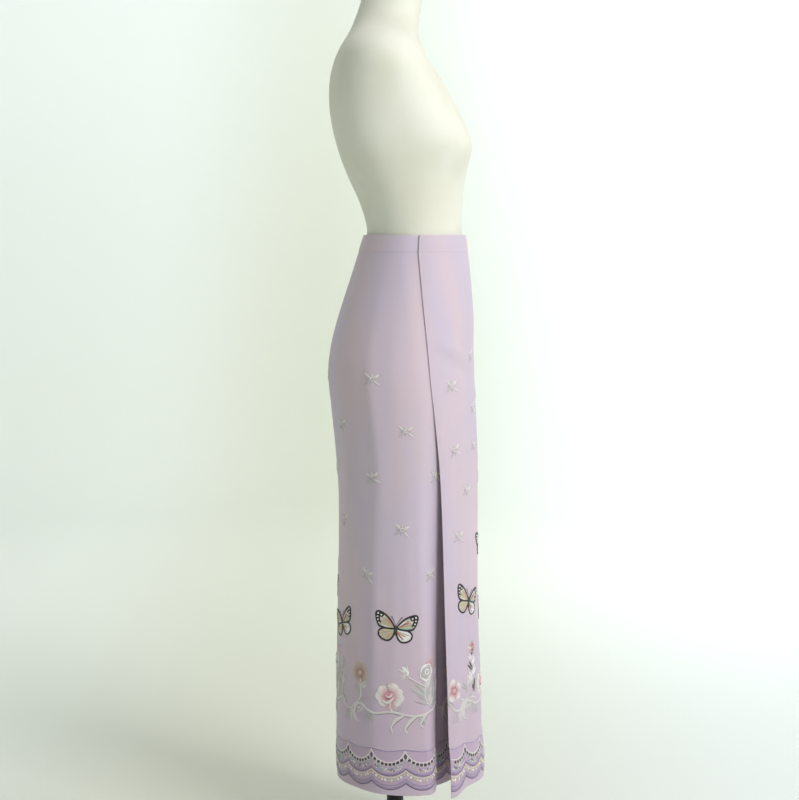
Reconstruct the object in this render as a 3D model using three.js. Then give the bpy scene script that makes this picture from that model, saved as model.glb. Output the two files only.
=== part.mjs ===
// An ankle-length wrap sarong of lilac cloth, worn on a limbless dress form with a pole and a round base.
// Millimetres, +Z up. The origin is on the floor under the pole. The front faces -Y, the right side -X.
// The cloth is one spiral wrap: its free edge lies on the right, it runs over the front, the left side and
// the back, comes round to the right side again, and tucks in under the free flap.
import * as THREE from "three";

// Driving dimensions
const hemHeight = 131;
const skirtLength = 969;
const waistHeight = hemHeight + skirtLength;
const waistbandDepth = 30;
const hemBandDepth = 79;
const clothThickness = 1.5;
const seamGap = 0.7;

// The waistband lies a little proud of the panels, and its inner end tucks in under its free end
const waistband = { thickness: 2, lift: 0.6, tuck: 3.6, tuckFrom: 330, tuckOver: 28, step: 5 };

// Angles round the body, in degrees from the wearer's right side and rising towards the front
const frontAngle = 90;
const leftSeamAngle = 180;
const wholeTurn = 360;
const wrapEndAngle = wholeTurn + 95;

// The sarong's outer surface: how far it reaches from the pole's axis at each height
const skirtSections = [
  { z: 1100, front: 125, back: 55, halfWidth: 119 },
  { z: 1040, front: 133, back: 74, halfWidth: 133 },
  { z: 949, front: 140, back: 103, halfWidth: 155 },
  { z: 900, front: 140, back: 115, halfWidth: 164 },
  { z: 851, front: 141, back: 119, halfWidth: 168 },
  { z: 797, front: 143, back: 114, halfWidth: 167 },
  { z: 717, front: 146, back: 106, halfWidth: 163 },
  { z: 640, front: 146, back: 101, halfWidth: 160 },
  { z: 450, front: 148, back: 101.5, halfWidth: 156 },
  { z: 300, front: 153, back: 103, halfWidth: 153 },
  { z: 215, front: 156, back: 104.5, halfWidth: 151 },
  { z: 180, front: 160, back: 105.5, halfWidth: 151 },
  { z: 131, front: 160, back: 104, halfWidth: 151 },
];

// Where the flap's free edge lies, how deep the cloth beside it tucks in under it, and how far it flares
const flapSections = [
  { z: 1100, edge: 2, tuck: 3.2, flare: 0 },
  { z: 949, edge: 16, tuck: 3.2, flare: 0 },
  { z: 890, edge: 21, tuck: 3, flare: 0 },
  { z: 816, edge: 23.8, tuck: 2.9, flare: 0 },
  { z: 735, edge: 25.8, tuck: 7, flare: 0 },
  { z: 645, edge: 28, tuck: 13.5, flare: 0 },
  { z: 560, edge: 29.4, tuck: 20, flare: 0 },
  { z: 445, edge: 30.4, tuck: 27, flare: 1 },
  { z: 300, edge: 30.3, tuck: 37, flare: 4 },
  { z: 190, edge: 29.9, tuck: 43, flare: 7 },
  { z: 131, edge: 29.8, tuck: 46, flare: 9 },
];
const tuckStartsBefore = 16;
const tuckEndsAfter = 6;
const flareReach = 50;

// How far the hem hangs below its level on the right side and at the flap's corner
const sideDrop = 4;
const sideReach = 70;
const cornerDrop = 10;
const cornerReach = 55;
const dropFadesAbove = 50;

// Soft upright ridges of the hanging cloth, which fade out towards the hips
const softRidges = [
  { angle: 334, spread: 14, height: 3 },
  { angle: 292, spread: 17, height: 2.5 },
  { angle: 246, spread: 17, height: 2.5 },
  { angle: 206, spread: 14, height: 3 },
  { angle: 150, spread: 15, height: 2.5 },
  { angle: 112, spread: 14, height: 2 },
  { angle: 72, spread: 13, height: 2 },
];
const ridgesStartBelow = 780;
const ridgesFullBelow = 320;

// The openwork of the hem band: a row of holes that hangs in swags between upright holes at the cusps
const firstCusp = -14.5;
const flapScallops = { width: 56.5, count: 7 };
const backScallops = { width: 61.6, count: 12 };
const holesPerSwag = 8;
const swagPower = 2.1;
const openworkHeight = 65;
const openworkDip = 14.7;
const hole = { halfWidth: 2.4, halfHeight: 2.1 };
const cuspHole = { halfWidth: 2.1, halfHeight: 4.2 };
const holeFreeEnd = 5;

// The dress form
const formClearance = 5.5;
const formBottom = 800;
const formTop = 1540;
const formSections = [
  { z: 1040, front: 127.5, back: 68.5, halfWidth: 127.5, squareness: 2 },
  { z: 1100, front: 119.5, back: 49.5, halfWidth: 113.5, squareness: 2 },
  { z: 1150, front: 119, back: 60, halfWidth: 118, squareness: 2.1 },
  { z: 1200, front: 124, back: 82, halfWidth: 131, squareness: 2.3 },
  { z: 1235, front: 131, back: 96, halfWidth: 141, squareness: 2.45 },
  { z: 1258, front: 133, back: 103, halfWidth: 146, squareness: 2.5 },
  { z: 1290, front: 125, back: 111, halfWidth: 150, squareness: 2.4 },
  { z: 1330, front: 106, back: 116, halfWidth: 155, squareness: 2.3 },
  { z: 1370, front: 83, back: 115, halfWidth: 163, squareness: 2.3 },
  { z: 1400, front: 64, back: 108, halfWidth: 170, squareness: 2.3 },
  { z: 1420, front: 53, back: 100, halfWidth: 166, squareness: 2.2 },
  { z: 1434, front: 47, back: 93, halfWidth: 150, squareness: 2.1 },
  { z: 1447, front: 43, back: 85, halfWidth: 124, squareness: 2 },
  { z: 1460, front: 42, back: 78, halfWidth: 94, squareness: 2 },
  { z: 1474, front: 43, back: 72, halfWidth: 70, squareness: 2 },
  { z: 1490, front: 45, back: 66, halfWidth: 58, squareness: 2 },
  { z: 1515, front: 49, back: 58, halfWidth: 53, squareness: 2 },
  { z: 1540, front: 52, back: 52, halfWidth: 51, squareness: 2 },
];
const bust = { height: 1254, spreadUp: 40, angleFromFront: 34, spreadRound: 24, fullness: 9 };
const edgeRounding = 6;

// The stand
const baseRadius = 190;
const basePlate = 9;
const bossRadius = 30;
const bossHeight = 26;
const poleRadius = 15;
const flangeRadius = 48;
const flangeDepth = 8;
const bevel = 3;
const standGap = 0.3;

// Mesh fineness: degrees round the body to a column of a panel, and its finer part where the cloth tucks in
const columnStep = 6;
const tuckStep = 3;
const tuckStart = wholeTurn + 10;
const tuckEnd = wholeTurn + 40;
const rowsBelowForm = 10;
const rowsOnForm = 6;
const formColumns = 40;
const formRowsAboveWaist = 20;

const radians = THREE.MathUtils.degToRad;
const smoothstep = (t) => THREE.MathUtils.smoothstep(t, 0, 1);
const bump = (t) => Math.exp(-t * t);

// Every column of a table of sections at height z, on a smooth curve through its rows
function sectionAt(table, z) {
  const rows = [...table].sort((a, b) => a.z - b.z);
  const at = THREE.MathUtils.clamp(z, rows[0].z, rows.at(-1).z);
  const i = Math.min(rows.findLastIndex((row) => row.z <= at), rows.length - 2);
  const [low, high] = [rows[i], rows[i + 1]];
  const [before, after] = [rows[i - 1] ?? low, rows[i + 2] ?? high];
  const span = high.z - low.z;
  const t = (at - low.z) / span;
  const section = {};
  for (const key of Object.keys(low)) {
    const slopeLow = ((high[key] - before[key]) / (high.z - before.z)) * span;
    const slopeHigh = ((after[key] - low[key]) / (after.z - low.z)) * span;
    section[key] =
      low[key] * (2 * t ** 3 - 3 * t ** 2 + 1) +
      slopeLow * (t ** 3 - 2 * t ** 2 + t) +
      high[key] * (3 * t ** 2 - 2 * t ** 3) +
      slopeHigh * (t ** 3 - t ** 2);
  }
  return section;
}

// A point of the sarong's section at height z, moved inwards by inset, level with the floor
function skirtPoint(angle, z, inset) {
  const { front, back, halfWidth } = sectionAt(skirtSections, z);
  const depth = (front + back) / 2;
  const [cos, sin] = [Math.cos(radians(angle)), Math.sin(radians(angle))];
  const outward = new THREE.Vector3(-cos / halfWidth, -sin / depth, 0).normalize();
  const point = new THREE.Vector3(-halfWidth * cos, (back - front) / 2 - depth * sin, z);
  return point.addScaledVector(outward, -inset);
}

// How far the soft ridges lift the cloth at an angle and height
function ridgeAt(angle, z) {
  const grown = smoothstep((ridgesStartBelow - z) / (ridgesStartBelow - ridgesFullBelow));
  const ridges = softRidges.map((ridge) => ridge.height * bump((angle - ridge.angle) / ridge.spread));
  return ridges.reduce((sum, height) => sum + height, 0) * grown;
}

// Length of cloth round the hem from the right side to each degree, which turns cloth lengths into angles
const hemArc = [0];
for (let degree = 1; degree <= wrapEndAngle + 5; degree++) {
  const step = skirtPoint(degree, hemHeight, 0).distanceTo(skirtPoint(degree - 1, hemHeight, 0));
  hemArc.push(hemArc[degree - 1] + step);
}
const arcAt = (angle) =>
  THREE.MathUtils.lerp(hemArc[Math.floor(angle)], hemArc[Math.floor(angle) + 1], angle - Math.floor(angle));
function angleAtArc(arc) {
  const degree = hemArc.findLastIndex((length) => length <= arc + 1e-9);
  return degree + (arc - hemArc[degree]) / (hemArc[degree + 1] - hemArc[degree]);
}

// Cloth positions run along the hem from the flap's free edge, in millimetres
const freeEdgeArc = arcAt(sectionAt(flapSections, hemHeight).edge);
const leftSeam = arcAt(leftSeamAngle) - freeEdgeArc;
const wrapEnd = arcAt(wrapEndAngle) - freeEdgeArc;

// The angle of a cloth position at height z: on the flap the columns lean with its slanting free edge
function angleOf(along, z) {
  const atHem = angleAtArc(along + freeEdgeArc);
  if (atHem >= leftSeamAngle) return atHem;
  const hemEdge = sectionAt(flapSections, hemHeight).edge;
  const share = (atHem - hemEdge) / (leftSeamAngle - hemEdge);
  return THREE.MathUtils.lerp(sectionAt(flapSections, z).edge, leftSeamAngle, share);
}

// The sarong's outer surface at a cloth position and a height above the hem
function clothPoint(along, aboveHem, lift = 0) {
  const z = hemHeight + aboveHem;
  const angle = angleOf(along, z);
  const fromRight = Math.min(angle, Math.abs(wholeTurn - angle));
  const sideLowered = sideDrop * smoothstep(1 - fromRight / sideReach);
  const cornerLowered = cornerDrop * smoothstep(1 - along / cornerReach);
  const { edge, tuck, flare } = sectionAt(flapSections, z);
  const beforeEdge = angle - (wholeTurn + edge - tuckStartsBefore);
  const tuckedIn = tuck * smoothstep(beforeEdge / (tuckStartsBefore + tuckEndsAfter));
  const flaredOut = flare * smoothstep(1 - along / flareReach);
  const point = skirtPoint(angle, z, tuckedIn - flaredOut - ridgeAt(angle, z) - lift);
  point.z -= (sideLowered + cornerLowered) * smoothstep(1 - aboveHem / dropFadesAbove);
  return point;
}

// Outward normals of a grid of points, from the points on either side of each
function gridNormals(grid) {
  const [lastColumn, lastRow] = [grid.length - 1, grid[0].length - 1];
  return grid.map((column, i) =>
    column.map((_, j) => {
      const across = grid[Math.min(i + 1, lastColumn)][j].clone().sub(grid[Math.max(i - 1, 0)][j]);
      const up = grid[i][Math.min(j + 1, lastRow)].clone().sub(grid[i][Math.max(j - 1, 0)]);
      return across.cross(up).normalize();
    }),
  );
}

function geometryOf(points, triangles) {
  const geometry = new THREE.BufferGeometry().setFromPoints(points);
  geometry.setIndex(triangles);
  geometry.computeVertexNormals();
  return geometry;
}

// A wall of cloth whose outer face is the grid, with four rims and a cut for each cell where isHole is true
function wall(grid, thickness, isHole = () => false) {
  const [columns, rows] = [grid.length, grid[0].length];
  const normals = gridNormals(grid);
  const inner = grid.map((column, i) =>
    column.map((p, j) => p.clone().addScaledVector(normals[i][j], -thickness)),
  );
  const points = [...grid.flat(), ...inner.flat()];
  const out = (i, j) => i * rows + j;
  const into = (i, j) => columns * rows + out(i, j);
  const triangles = [];
  const quad = (a, b, c, d) => triangles.push(a, b, c, a, c, d);
  for (let i = 0; i < columns - 1; i++) {
    for (let j = 0; j < rows - 1; j++) {
      if (isHole(i, j)) {
        quad(out(i, j), out(i + 1, j), into(i + 1, j), into(i, j));
        quad(out(i + 1, j + 1), out(i, j + 1), into(i, j + 1), into(i + 1, j + 1));
        quad(out(i, j), into(i, j), into(i, j + 1), out(i, j + 1));
        quad(out(i + 1, j), out(i + 1, j + 1), into(i + 1, j + 1), into(i + 1, j));
      } else {
        quad(out(i, j), out(i + 1, j), out(i + 1, j + 1), out(i, j + 1));
        quad(into(i, j), into(i, j + 1), into(i + 1, j + 1), into(i + 1, j));
      }
    }
  }
  const [right, top] = [columns - 1, rows - 1];
  for (let i = 0; i < right; i++) {
    quad(out(i, 0), into(i, 0), into(i + 1, 0), out(i + 1, 0));
    quad(out(i, top), out(i + 1, top), into(i + 1, top), into(i, top));
  }
  for (let j = 0; j < top; j++) {
    quad(out(0, j), out(0, j + 1), into(0, j + 1), into(0, j));
    quad(out(right, j), into(right, j), into(right, j + 1), out(right, j + 1));
  }
  return geometryOf(points, triangles);
}

// A closed body through rings of points, with a flat cap at each end
function ringBody(rings) {
  const count = rings[0].length;
  const points = rings.flat();
  const triangles = [];
  for (let level = 0; level < rings.length - 1; level++) {
    for (let i = 0; i < count; i++) {
      const [a, b] = [level * count + i, level * count + ((i + 1) % count)];
      triangles.push(a, b, b + count, a, b + count, a + count);
    }
  }
  for (const level of [0, rings.length - 1]) {
    const centre = rings[level].reduce((sum, p) => sum.add(p), new THREE.Vector3()).divideScalar(count);
    points.push(centre);
    for (let i = 0; i < count; i++) {
      const [a, b] = [level * count + i, level * count + ((i + 1) % count)];
      triangles.push(points.length - 1, ...(level === 0 ? [b, a] : [a, b]));
    }
  }
  return geometryOf(points, triangles);
}

const evenly = (from, to, steps) =>
  Array.from({ length: steps + 1 }, (_, i) => from + ((to - from) * i) / steps);

// Panels: from the seam over the hem band up to the waistband
const panelTop = waistHeight - waistbandDepth - seamGap;
const panelLevels = [
  ...evenly(hemHeight + hemBandDepth, formBottom, rowsBelowForm).slice(0, -1),
  ...evenly(formBottom, panelTop, rowsOnForm),
];

// Columns of a panel between two cloth positions, closer together where the cloth tucks in
function panelColumns(start, end) {
  const [from, to] = [start, end].map((along) => angleAtArc(along + freeEdgeArc));
  const parts = to > tuckEnd ? [from, tuckStart, tuckEnd, to] : [from, to];
  const angles = parts.slice(1).flatMap((stop, i) => {
    const step = i === 1 ? tuckStep : columnStep;
    return evenly(parts[i], stop, Math.round((stop - parts[i]) / step)).slice(i > 0 ? 1 : 0);
  });
  return angles.map((angle) => arcAt(angle) - freeEdgeArc);
}

function panel(start, end) {
  const grid = panelColumns(start, end).map((along) =>
    panelLevels.map((z) => clothPoint(along, z - hemHeight)),
  );
  return wall(grid, clothThickness);
}

// Hem bands: the grid's columns are the sides of the holes, so each hole is one cell of it
const swag = (share) => 1 - Math.abs(2 * share - 1) ** swagPower;
const lastFlapCusp = firstCusp + flapScallops.count * flapScallops.width;
const lastCusp = lastFlapCusp + backScallops.count * backScallops.width;
const cusps = [
  ...evenly(firstCusp, lastFlapCusp, flapScallops.count),
  ...evenly(lastFlapCusp, lastCusp, backScallops.count).slice(1),
];

function openworkAt(along) {
  const last = cusps.findLastIndex((cusp) => cusp <= along);
  const share = (along - cusps[last]) / (cusps[last + 1] - cusps[last]);
  return openworkHeight - openworkDip * swag(share);
}

function holesBetween(start, end) {
  const inScallops = cusps.slice(0, -1).flatMap((cusp, i) =>
    evenly(cusp, cusps[i + 1], holesPerSwag + 1)
      .slice(0, -1)
      .map((centre, number) => ({ centre, ...(number === 0 ? cuspHole : hole) })),
  );
  return inScallops.filter(({ centre }) => centre > start + holeFreeEnd && centre < end - holeFreeEnd);
}

function hemBand(start, end) {
  const holes = holesBetween(start, end);
  const sides = holes.flatMap(({ centre, halfWidth, halfHeight }) => [
    { along: centre - halfWidth, halfHeight },
    { along: centre + halfWidth, halfHeight },
  ]);
  const plain = hole.halfHeight;
  const columns = [{ along: start, halfHeight: plain }, ...sides, { along: end, halfHeight: plain }];
  const grid = columns.map(({ along, halfHeight }) => {
    const row = openworkAt(along);
    const heights = [0, row - halfHeight, row + halfHeight, hemBandDepth - seamGap];
    return heights.map((aboveHem) => clothPoint(along, aboveHem));
  });
  return wall(grid, clothThickness, (i, j) => j === 1 && i % 2 === 1);
}

// One strip that follows the whole wrap
function waistbandStrip() {
  const levels = [waistHeight - waistbandDepth, waistHeight];
  const startEdge = sectionAt(flapSections, levels[0]).edge;
  const steps = Math.round((wrapEndAngle - startEdge) / waistband.step);
  const grid = evenly(startEdge, wrapEndAngle, steps).map((angle) => {
    const tucked = waistband.tuck * smoothstep((angle - waistband.tuckFrom) / waistband.tuckOver);
    return levels.map((z) => skirtPoint(angle, z, tucked - waistband.lift));
  });
  return wall(grid, waistband.thickness);
}

// Dress form: the sarong's own sections less a clearance up to the waist, and its own sections above
function formPoint(angle, z, inset = 0) {
  if (z <= waistHeight) return skirtPoint(angle, z, formClearance + inset);
  const { front, back, halfWidth, squareness } = sectionAt(formSections, z);
  const depth = (front + back) / 2;
  const [cos, sin] = [Math.cos(radians(angle)), Math.sin(radians(angle))];
  const rounded = (x) => Math.sign(x) * Math.abs(x) ** (2 / squareness);
  const fromFront = (Math.abs(angle - frontAngle) - bust.angleFromFront) / bust.spreadRound;
  const lobe = bust.fullness * bump(fromFront) * bump((z - bust.height) / bust.spreadUp);
  const reach = lobe - inset;
  return new THREE.Vector3(
    -(halfWidth + reach) * rounded(cos),
    (back - front) / 2 - (depth + reach) * rounded(sin),
    z,
  );
}

function dressForm() {
  const turn = evenly(0, wholeTurn, formColumns).slice(0, -1);
  const angles = turn.map((angle) => (angle > frontAngle + 180 ? angle - wholeTurn : angle));
  const levels = [
    { z: formBottom, inset: edgeRounding },
    { z: formBottom + edgeRounding, inset: 0 },
    ...evenly(formBottom, panelTop, rowsOnForm).slice(1).map((z) => ({ z, inset: 0 })),
    ...evenly(waistHeight, formTop - edgeRounding, formRowsAboveWaist).map((z) => ({ z, inset: 0 })),
    { z: formTop, inset: edgeRounding },
  ];
  return ringBody(levels.map(({ z, inset }) => angles.map((angle) => formPoint(angle, z, inset))));
}

// Stand: turned about the pole's axis
function turned(profile, sides) {
  const points = profile.map(([radius, z]) => new THREE.Vector2(radius, z));
  return new THREE.LatheGeometry(points, sides).rotateX(Math.PI / 2);
}

function standBase() {
  return turned(
    [
      [0, 0],
      [baseRadius, 0],
      [baseRadius, basePlate - bevel],
      [baseRadius - bevel, basePlate],
      [bossRadius + bevel, basePlate + bevel],
      [bossRadius, basePlate + 2 * bevel],
      [bossRadius - bevel, bossHeight],
      [0, bossHeight],
    ],
    48,
  );
}

function standPole() {
  const top = formBottom - standGap;
  return turned(
    [
      [0, bossHeight + standGap],
      [poleRadius, bossHeight + standGap],
      [poleRadius, top - flangeDepth - poleRadius],
      [poleRadius + bevel, top - flangeDepth - bevel],
      [flangeRadius - bevel, top - flangeDepth],
      [flangeRadius, top - flangeDepth + bevel],
      [flangeRadius, top],
      [0, top],
    ],
    24,
  );
}

// Materials
const cloth = new THREE.MeshStandardMaterial({ color: 0xc9b8cb, roughness: 0.8, metalness: 0 });
const bandCloth = new THREE.MeshStandardMaterial({ color: 0xb8a3c2, roughness: 0.8, metalness: 0 });
const formCover = new THREE.MeshStandardMaterial({ color: 0xe6e6d6, roughness: 0.75, metalness: 0 });
const blackMetal = new THREE.MeshStandardMaterial({ color: 0x1c181a, roughness: 0.45, metalness: 0.6 });

const sarongOnForm = new THREE.Group();
function add(name, geometry, material) {
  const mesh = new THREE.Mesh(geometry, material);
  mesh.name = name;
  sarongOnForm.add(mesh);
}

const halfSeam = seamGap / 2;
add("sarong_front_flap", panel(0, leftSeam - halfSeam), cloth);
add("sarong_back_panel", panel(leftSeam + halfSeam, wrapEnd), cloth);
add("hem_band_front", hemBand(0, leftSeam - halfSeam), bandCloth);
add("hem_band_back", hemBand(leftSeam + halfSeam, wrapEnd), bandCloth);
add("waistband", waistbandStrip(), cloth);
add("form_torso", dressForm(), formCover);
add("stand_pole", standPole(), blackMetal);
add("stand_base", standBase(), blackMetal);

export default sarongOnForm;
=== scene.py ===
import math

import bpy
import numpy as np
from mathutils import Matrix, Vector


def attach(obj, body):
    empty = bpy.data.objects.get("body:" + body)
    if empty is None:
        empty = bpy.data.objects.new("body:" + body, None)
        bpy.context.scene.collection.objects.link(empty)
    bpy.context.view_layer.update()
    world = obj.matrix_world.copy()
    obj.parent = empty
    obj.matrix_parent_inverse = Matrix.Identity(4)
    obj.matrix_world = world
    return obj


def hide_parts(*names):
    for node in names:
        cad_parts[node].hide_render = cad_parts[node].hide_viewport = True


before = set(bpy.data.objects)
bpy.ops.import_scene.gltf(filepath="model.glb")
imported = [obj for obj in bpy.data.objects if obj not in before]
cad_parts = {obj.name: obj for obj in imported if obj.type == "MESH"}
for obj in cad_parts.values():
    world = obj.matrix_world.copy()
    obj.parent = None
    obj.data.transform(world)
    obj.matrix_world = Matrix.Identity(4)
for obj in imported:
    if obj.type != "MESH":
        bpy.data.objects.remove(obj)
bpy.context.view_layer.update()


def columns(names, *rows):
    """A table as named columns: arrays of numbers, and plain tuples of colours or paths."""
    table = dict(zip(names, zip(*rows)))
    for name, values in table.items():
        if isinstance(values[0], (int, float)):
            table[name] = np.array(values, float)
    return table


# Driving sizes
MM = 0.001
HEM_Z = 131
WAIST_Z = 1100
WAISTBAND_DEPTH = 30
BAND_DEPTH = 79
CLOTH = 1.0
PANEL_TOP = WAIST_Z - WAISTBAND_DEPTH - HEM_Z
FORM_BOTTOM = 800
FORM_TOP = 1540
FORM_CLEARANCE = 5.5

# The sarong's outer surface: its reach from the pole's axis at each height
SKIRT = columns(
    ("z", "front", "back", "half_width"),
    (131, 160, 104, 151),
    (180, 160, 105.5, 151),
    (215, 156, 104.5, 151),
    (300, 153, 103, 153),
    (450, 148, 101.5, 156),
    (640, 146, 101, 160),
    (717, 146, 106, 163),
    (797, 143, 114, 167),
    (851, 141, 119, 168),
    (900, 140, 115, 164),
    (949, 140, 103, 155),
    (1040, 133, 74, 133),
    (1100, 125, 55, 119),
)

# The flap's free edge in degrees from the right side, how deep the cloth tucks in under it and from how many
# degrees before the edge, and the flap's flare
FLAP = columns(
    ("z", "edge", "tuck", "tuck_from", "flare"),
    (131, 29.8, 46, 17, 9),
    (190, 29.9, 43, 17.5, 7),
    (300, 30.3, 37, 19, 4),
    (445, 30.4, 27, 21.5, 1),
    (560, 29.4, 20, 23, 0),
    (645, 28, 13.5, 22, 0),
    (735, 25.8, 7, 16, 0),
    (816, 23.8, 2.9, 12, 0),
    (890, 21, 3, 12, 0),
    (949, 16, 3.2, 14, 0),
    (1100, 2, 3.2, 22, 0),
)
TUCK_ENDS_AFTER = 6
FLARE_REACH = 50
SIDE_DROP, SIDE_REACH = 4, 70
CORNER_DROP, CORNER_REACH = 10, 55
DROP_FADES_ABOVE = 50
LEFT_SEAM_ANGLE = 180
TURN = 360
WRAP_END_ANGLE = TURN + 95

# Soft upright folds of the hanging cloth, which fade out towards the hips
FOLDS = columns(
    ("angle", "spread", "rise"),
    (334, 14, 3),
    (292, 17, 2.5),
    (246, 17, 2.5),
    (206, 14, 3),
    (150, 15, 2.5),
    (112, 14, 2),
    (72, 13, 2),
)
FOLDS_START_Z, FOLDS_FULL_Z = 780, 320

# Finer creases, each along a line over the cloth from one angle and height to another
CREASES = columns(
    ("from_angle", "from_z", "to_angle", "to_z", "spread", "rise"),
    (347, 150, 351, 620, 12, 1.1),
    (331, 90, 334, 760, 13, 2.2),
    (339, 540, 333, 1030, 15, 2.8),
    (362, 260, 358, 700, 10, 0.7),
    (318, 131, 324, 520, 13, -1.2),
    (305, 420, 300, 900, 15, 0.9),
    (276, 140, 281, 560, 13, 2.0),
    (262, 380, 258, 820, 15, -1.8),
    (231, 131, 236, 610, 13, 1.9),
    (219, 500, 213, 960, 15, 0.8),
    (192, 160, 196, 560, 13, -1.9),
    (171, 131, 167, 640, 13, 2.4),
    (137, 240, 142, 760, 13, 2.6),
    (124, 131, 121, 480, 11, -2.6),
    (98, 180, 102, 690, 13, 2.8),
    (84, 420, 80, 930, 15, 2.2),
    (58, 150, 61, 600, 10, 1.2),
    (44, 330, 42, 850, 10, -0.7),
    (18, 926, 74, 872, 9, 3.4),
    (22, 896, 70, 850, 9, -2.0),
    (340, 890, 384, 882, 8, -0.8),
    (286, 876, 330, 890, 10, 1.8),
    (228, 890, 276, 872, 10, 2.0),
    (180, 868, 214, 886, 9, -1.7),
    (128, 872, 172, 892, 10, 2.0),
    (96, 896, 132, 870, 9, -1.8),
)
MM_PER_DEGREE = 2.5
CREASE_FADE = 1.5

# The scalloped openwork: a row of holes that hangs in swags between upright holes at the cusps
FIRST_CUSP = -14.5
FLAP_SCALLOPS = {"width": 56.5, "count": 7}
BACK_SCALLOPS = {"width": 61.6, "count": 12}
HOLES_PER_SWAG = 8
SWAG_POWER = 2.1
OPENWORK_ABOVE, OPENWORK_DIP = 65, 14.7
HOLE = {"half_width": 2.5, "half_height": 2.1}
CUSP_HOLE = {"half_width": 2.2, "half_height": 4.3}
HOLE_FREE_END = 5

# The dress form above the waist
FORM = columns(
    ("z", "front", "back", "half_width", "squareness"),
    (1040, 127.5, 68.5, 127.5, 2),
    (1100, 119.5, 49.5, 113.5, 2),
    (1150, 119, 60, 118, 2.1),
    (1200, 124, 82, 131, 2.3),
    (1235, 131, 96, 141, 2.45),
    (1258, 133, 103, 146, 2.5),
    (1290, 125, 111, 150, 2.4),
    (1330, 106, 116, 155, 2.3),
    (1370, 83, 115, 163, 2.3),
    (1400, 64, 108, 170, 2.3),
    (1420, 53, 100, 166, 2.2),
    (1434, 47, 93, 150, 2.1),
    (1447, 43, 85, 124, 2),
    (1460, 42, 78, 94, 2),
    (1474, 43, 72, 70, 2),
    (1490, 45, 66, 58, 2),
    (1515, 49, 58, 53, 2),
    (1540, 52, 52, 51, 2),
)
BUST = {"z": 1254, "spread_up": 40, "from_front": 34, "spread_round": 24, "fullness": 9}
FRONT_ANGLE = 90
EDGE_ROUNDING = 6

# The stand
BASE_RADIUS, BASE_PLATE = 190, 9
BOSS_RADIUS, BOSS_HEIGHT = 30, 26
POLE_RADIUS = 15
FLANGE_RADIUS, FLANGE_DEPTH = 48, 8
BEVEL = 3
STAND_GAP = 0.3
BASE_EDGE_BREAK = 1
# The fillet at the boss's foot: how far out from the boss, and how far above the plate
BOSS_FILLET = ((3, 0.6), (1, 2), (0, 5))
# The cone under the flange starts this far out from the pole, and this many bevels below the flange
CONE_OUT, CONE_BEVELS = 0.9, 1.8


# Shape functions

def smoothstep(t):
    """0 below 0 and 1 above 1, with a soft rise between."""
    t = np.clip(t, 0, 1)
    return t * t * (3 - 2 * t)


def bump(t):
    """1 at 0, falling off softly on both sides."""
    return np.exp(-t * t)


def curve(table, name, z):
    """A column of a table of sections at height z, on a smooth curve through its rows."""
    heights, values = table["z"], table[name]
    z = np.clip(z, heights[0], heights[-1])
    low = np.clip(np.searchsorted(heights, z, side="right") - 1, 0, len(heights) - 2)
    before, high, after = np.maximum(low - 1, 0), low + 1, np.minimum(low + 2, len(heights) - 1)
    span = heights[high] - heights[low]
    t = (z - heights[low]) / span
    slope_low = (values[high] - values[before]) / (heights[high] - heights[before]) * span
    slope_high = (values[after] - values[low]) / (heights[after] - heights[low]) * span
    return (
        values[low] * (2 * t**3 - 3 * t**2 + 1)
        + slope_low * (t**3 - 2 * t**2 + t)
        + values[high] * (3 * t**2 - 2 * t**3)
        + slope_high * (t**3 - t**2)
    )


def skirt_point(angle, z, lift):
    """Points of the sarong's sections, moved outwards by lift, level with the floor."""
    front, back, half_width = (curve(SKIRT, name, z) for name in ("front", "back", "half_width"))
    depth = (front + back) / 2
    cos, sin = np.cos(np.radians(angle)), np.sin(np.radians(angle))
    outward = np.stack([-cos / half_width, -sin / depth], -1)
    outward /= np.linalg.norm(outward, axis=-1, keepdims=True)
    x = -half_width * cos + outward[..., 0] * lift
    y = (back - front) / 2 - depth * sin + outward[..., 1] * lift
    return np.stack([x, y, z + 0 * x], -1)


def fold_at(angle, z):
    """How far the folds and creases lift the cloth."""
    grown = smoothstep((FOLDS_START_Z - z) / (FOLDS_START_Z - FOLDS_FULL_Z))
    lift = sum(
        rise * bump((angle - at) / spread) * grown for at, spread, rise in zip(*FOLDS.values())
    )
    for from_angle, from_z, to_angle, to_z, spread, rise in zip(*CREASES.values()):
        run = np.array([(to_angle - from_angle) * MM_PER_DEGREE, to_z - from_z])
        length = np.linalg.norm(run)
        x, y = (angle - from_angle) * MM_PER_DEGREE, z - from_z
        share = (x * run[0] + y * run[1]) / length**2
        strength = np.sin(np.pi * np.clip(share, 0, 1)) ** CREASE_FADE
        lift = lift + rise * strength * bump((x * run[1] - y * run[0]) / length / spread)
    return lift


DEGREES = np.arange(0, WRAP_END_ANGLE + 6.0)
HEM_POINTS = skirt_point(DEGREES, np.full(DEGREES.shape, float(HEM_Z)), 0)
HEM_ARC = np.append(0, np.cumsum(np.linalg.norm(np.diff(HEM_POINTS, axis=0), axis=1)))
HEM_EDGE = FLAP["edge"][0]
FREE_EDGE_ARC = np.interp(HEM_EDGE, DEGREES, HEM_ARC)
LEFT_SEAM = np.interp(LEFT_SEAM_ANGLE, DEGREES, HEM_ARC) - FREE_EDGE_ARC
WRAP_END = np.interp(WRAP_END_ANGLE, DEGREES, HEM_ARC) - FREE_EDGE_ARC
RIGHT_SIDE = np.interp(TURN, DEGREES, HEM_ARC) - FREE_EDGE_ARC


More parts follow.
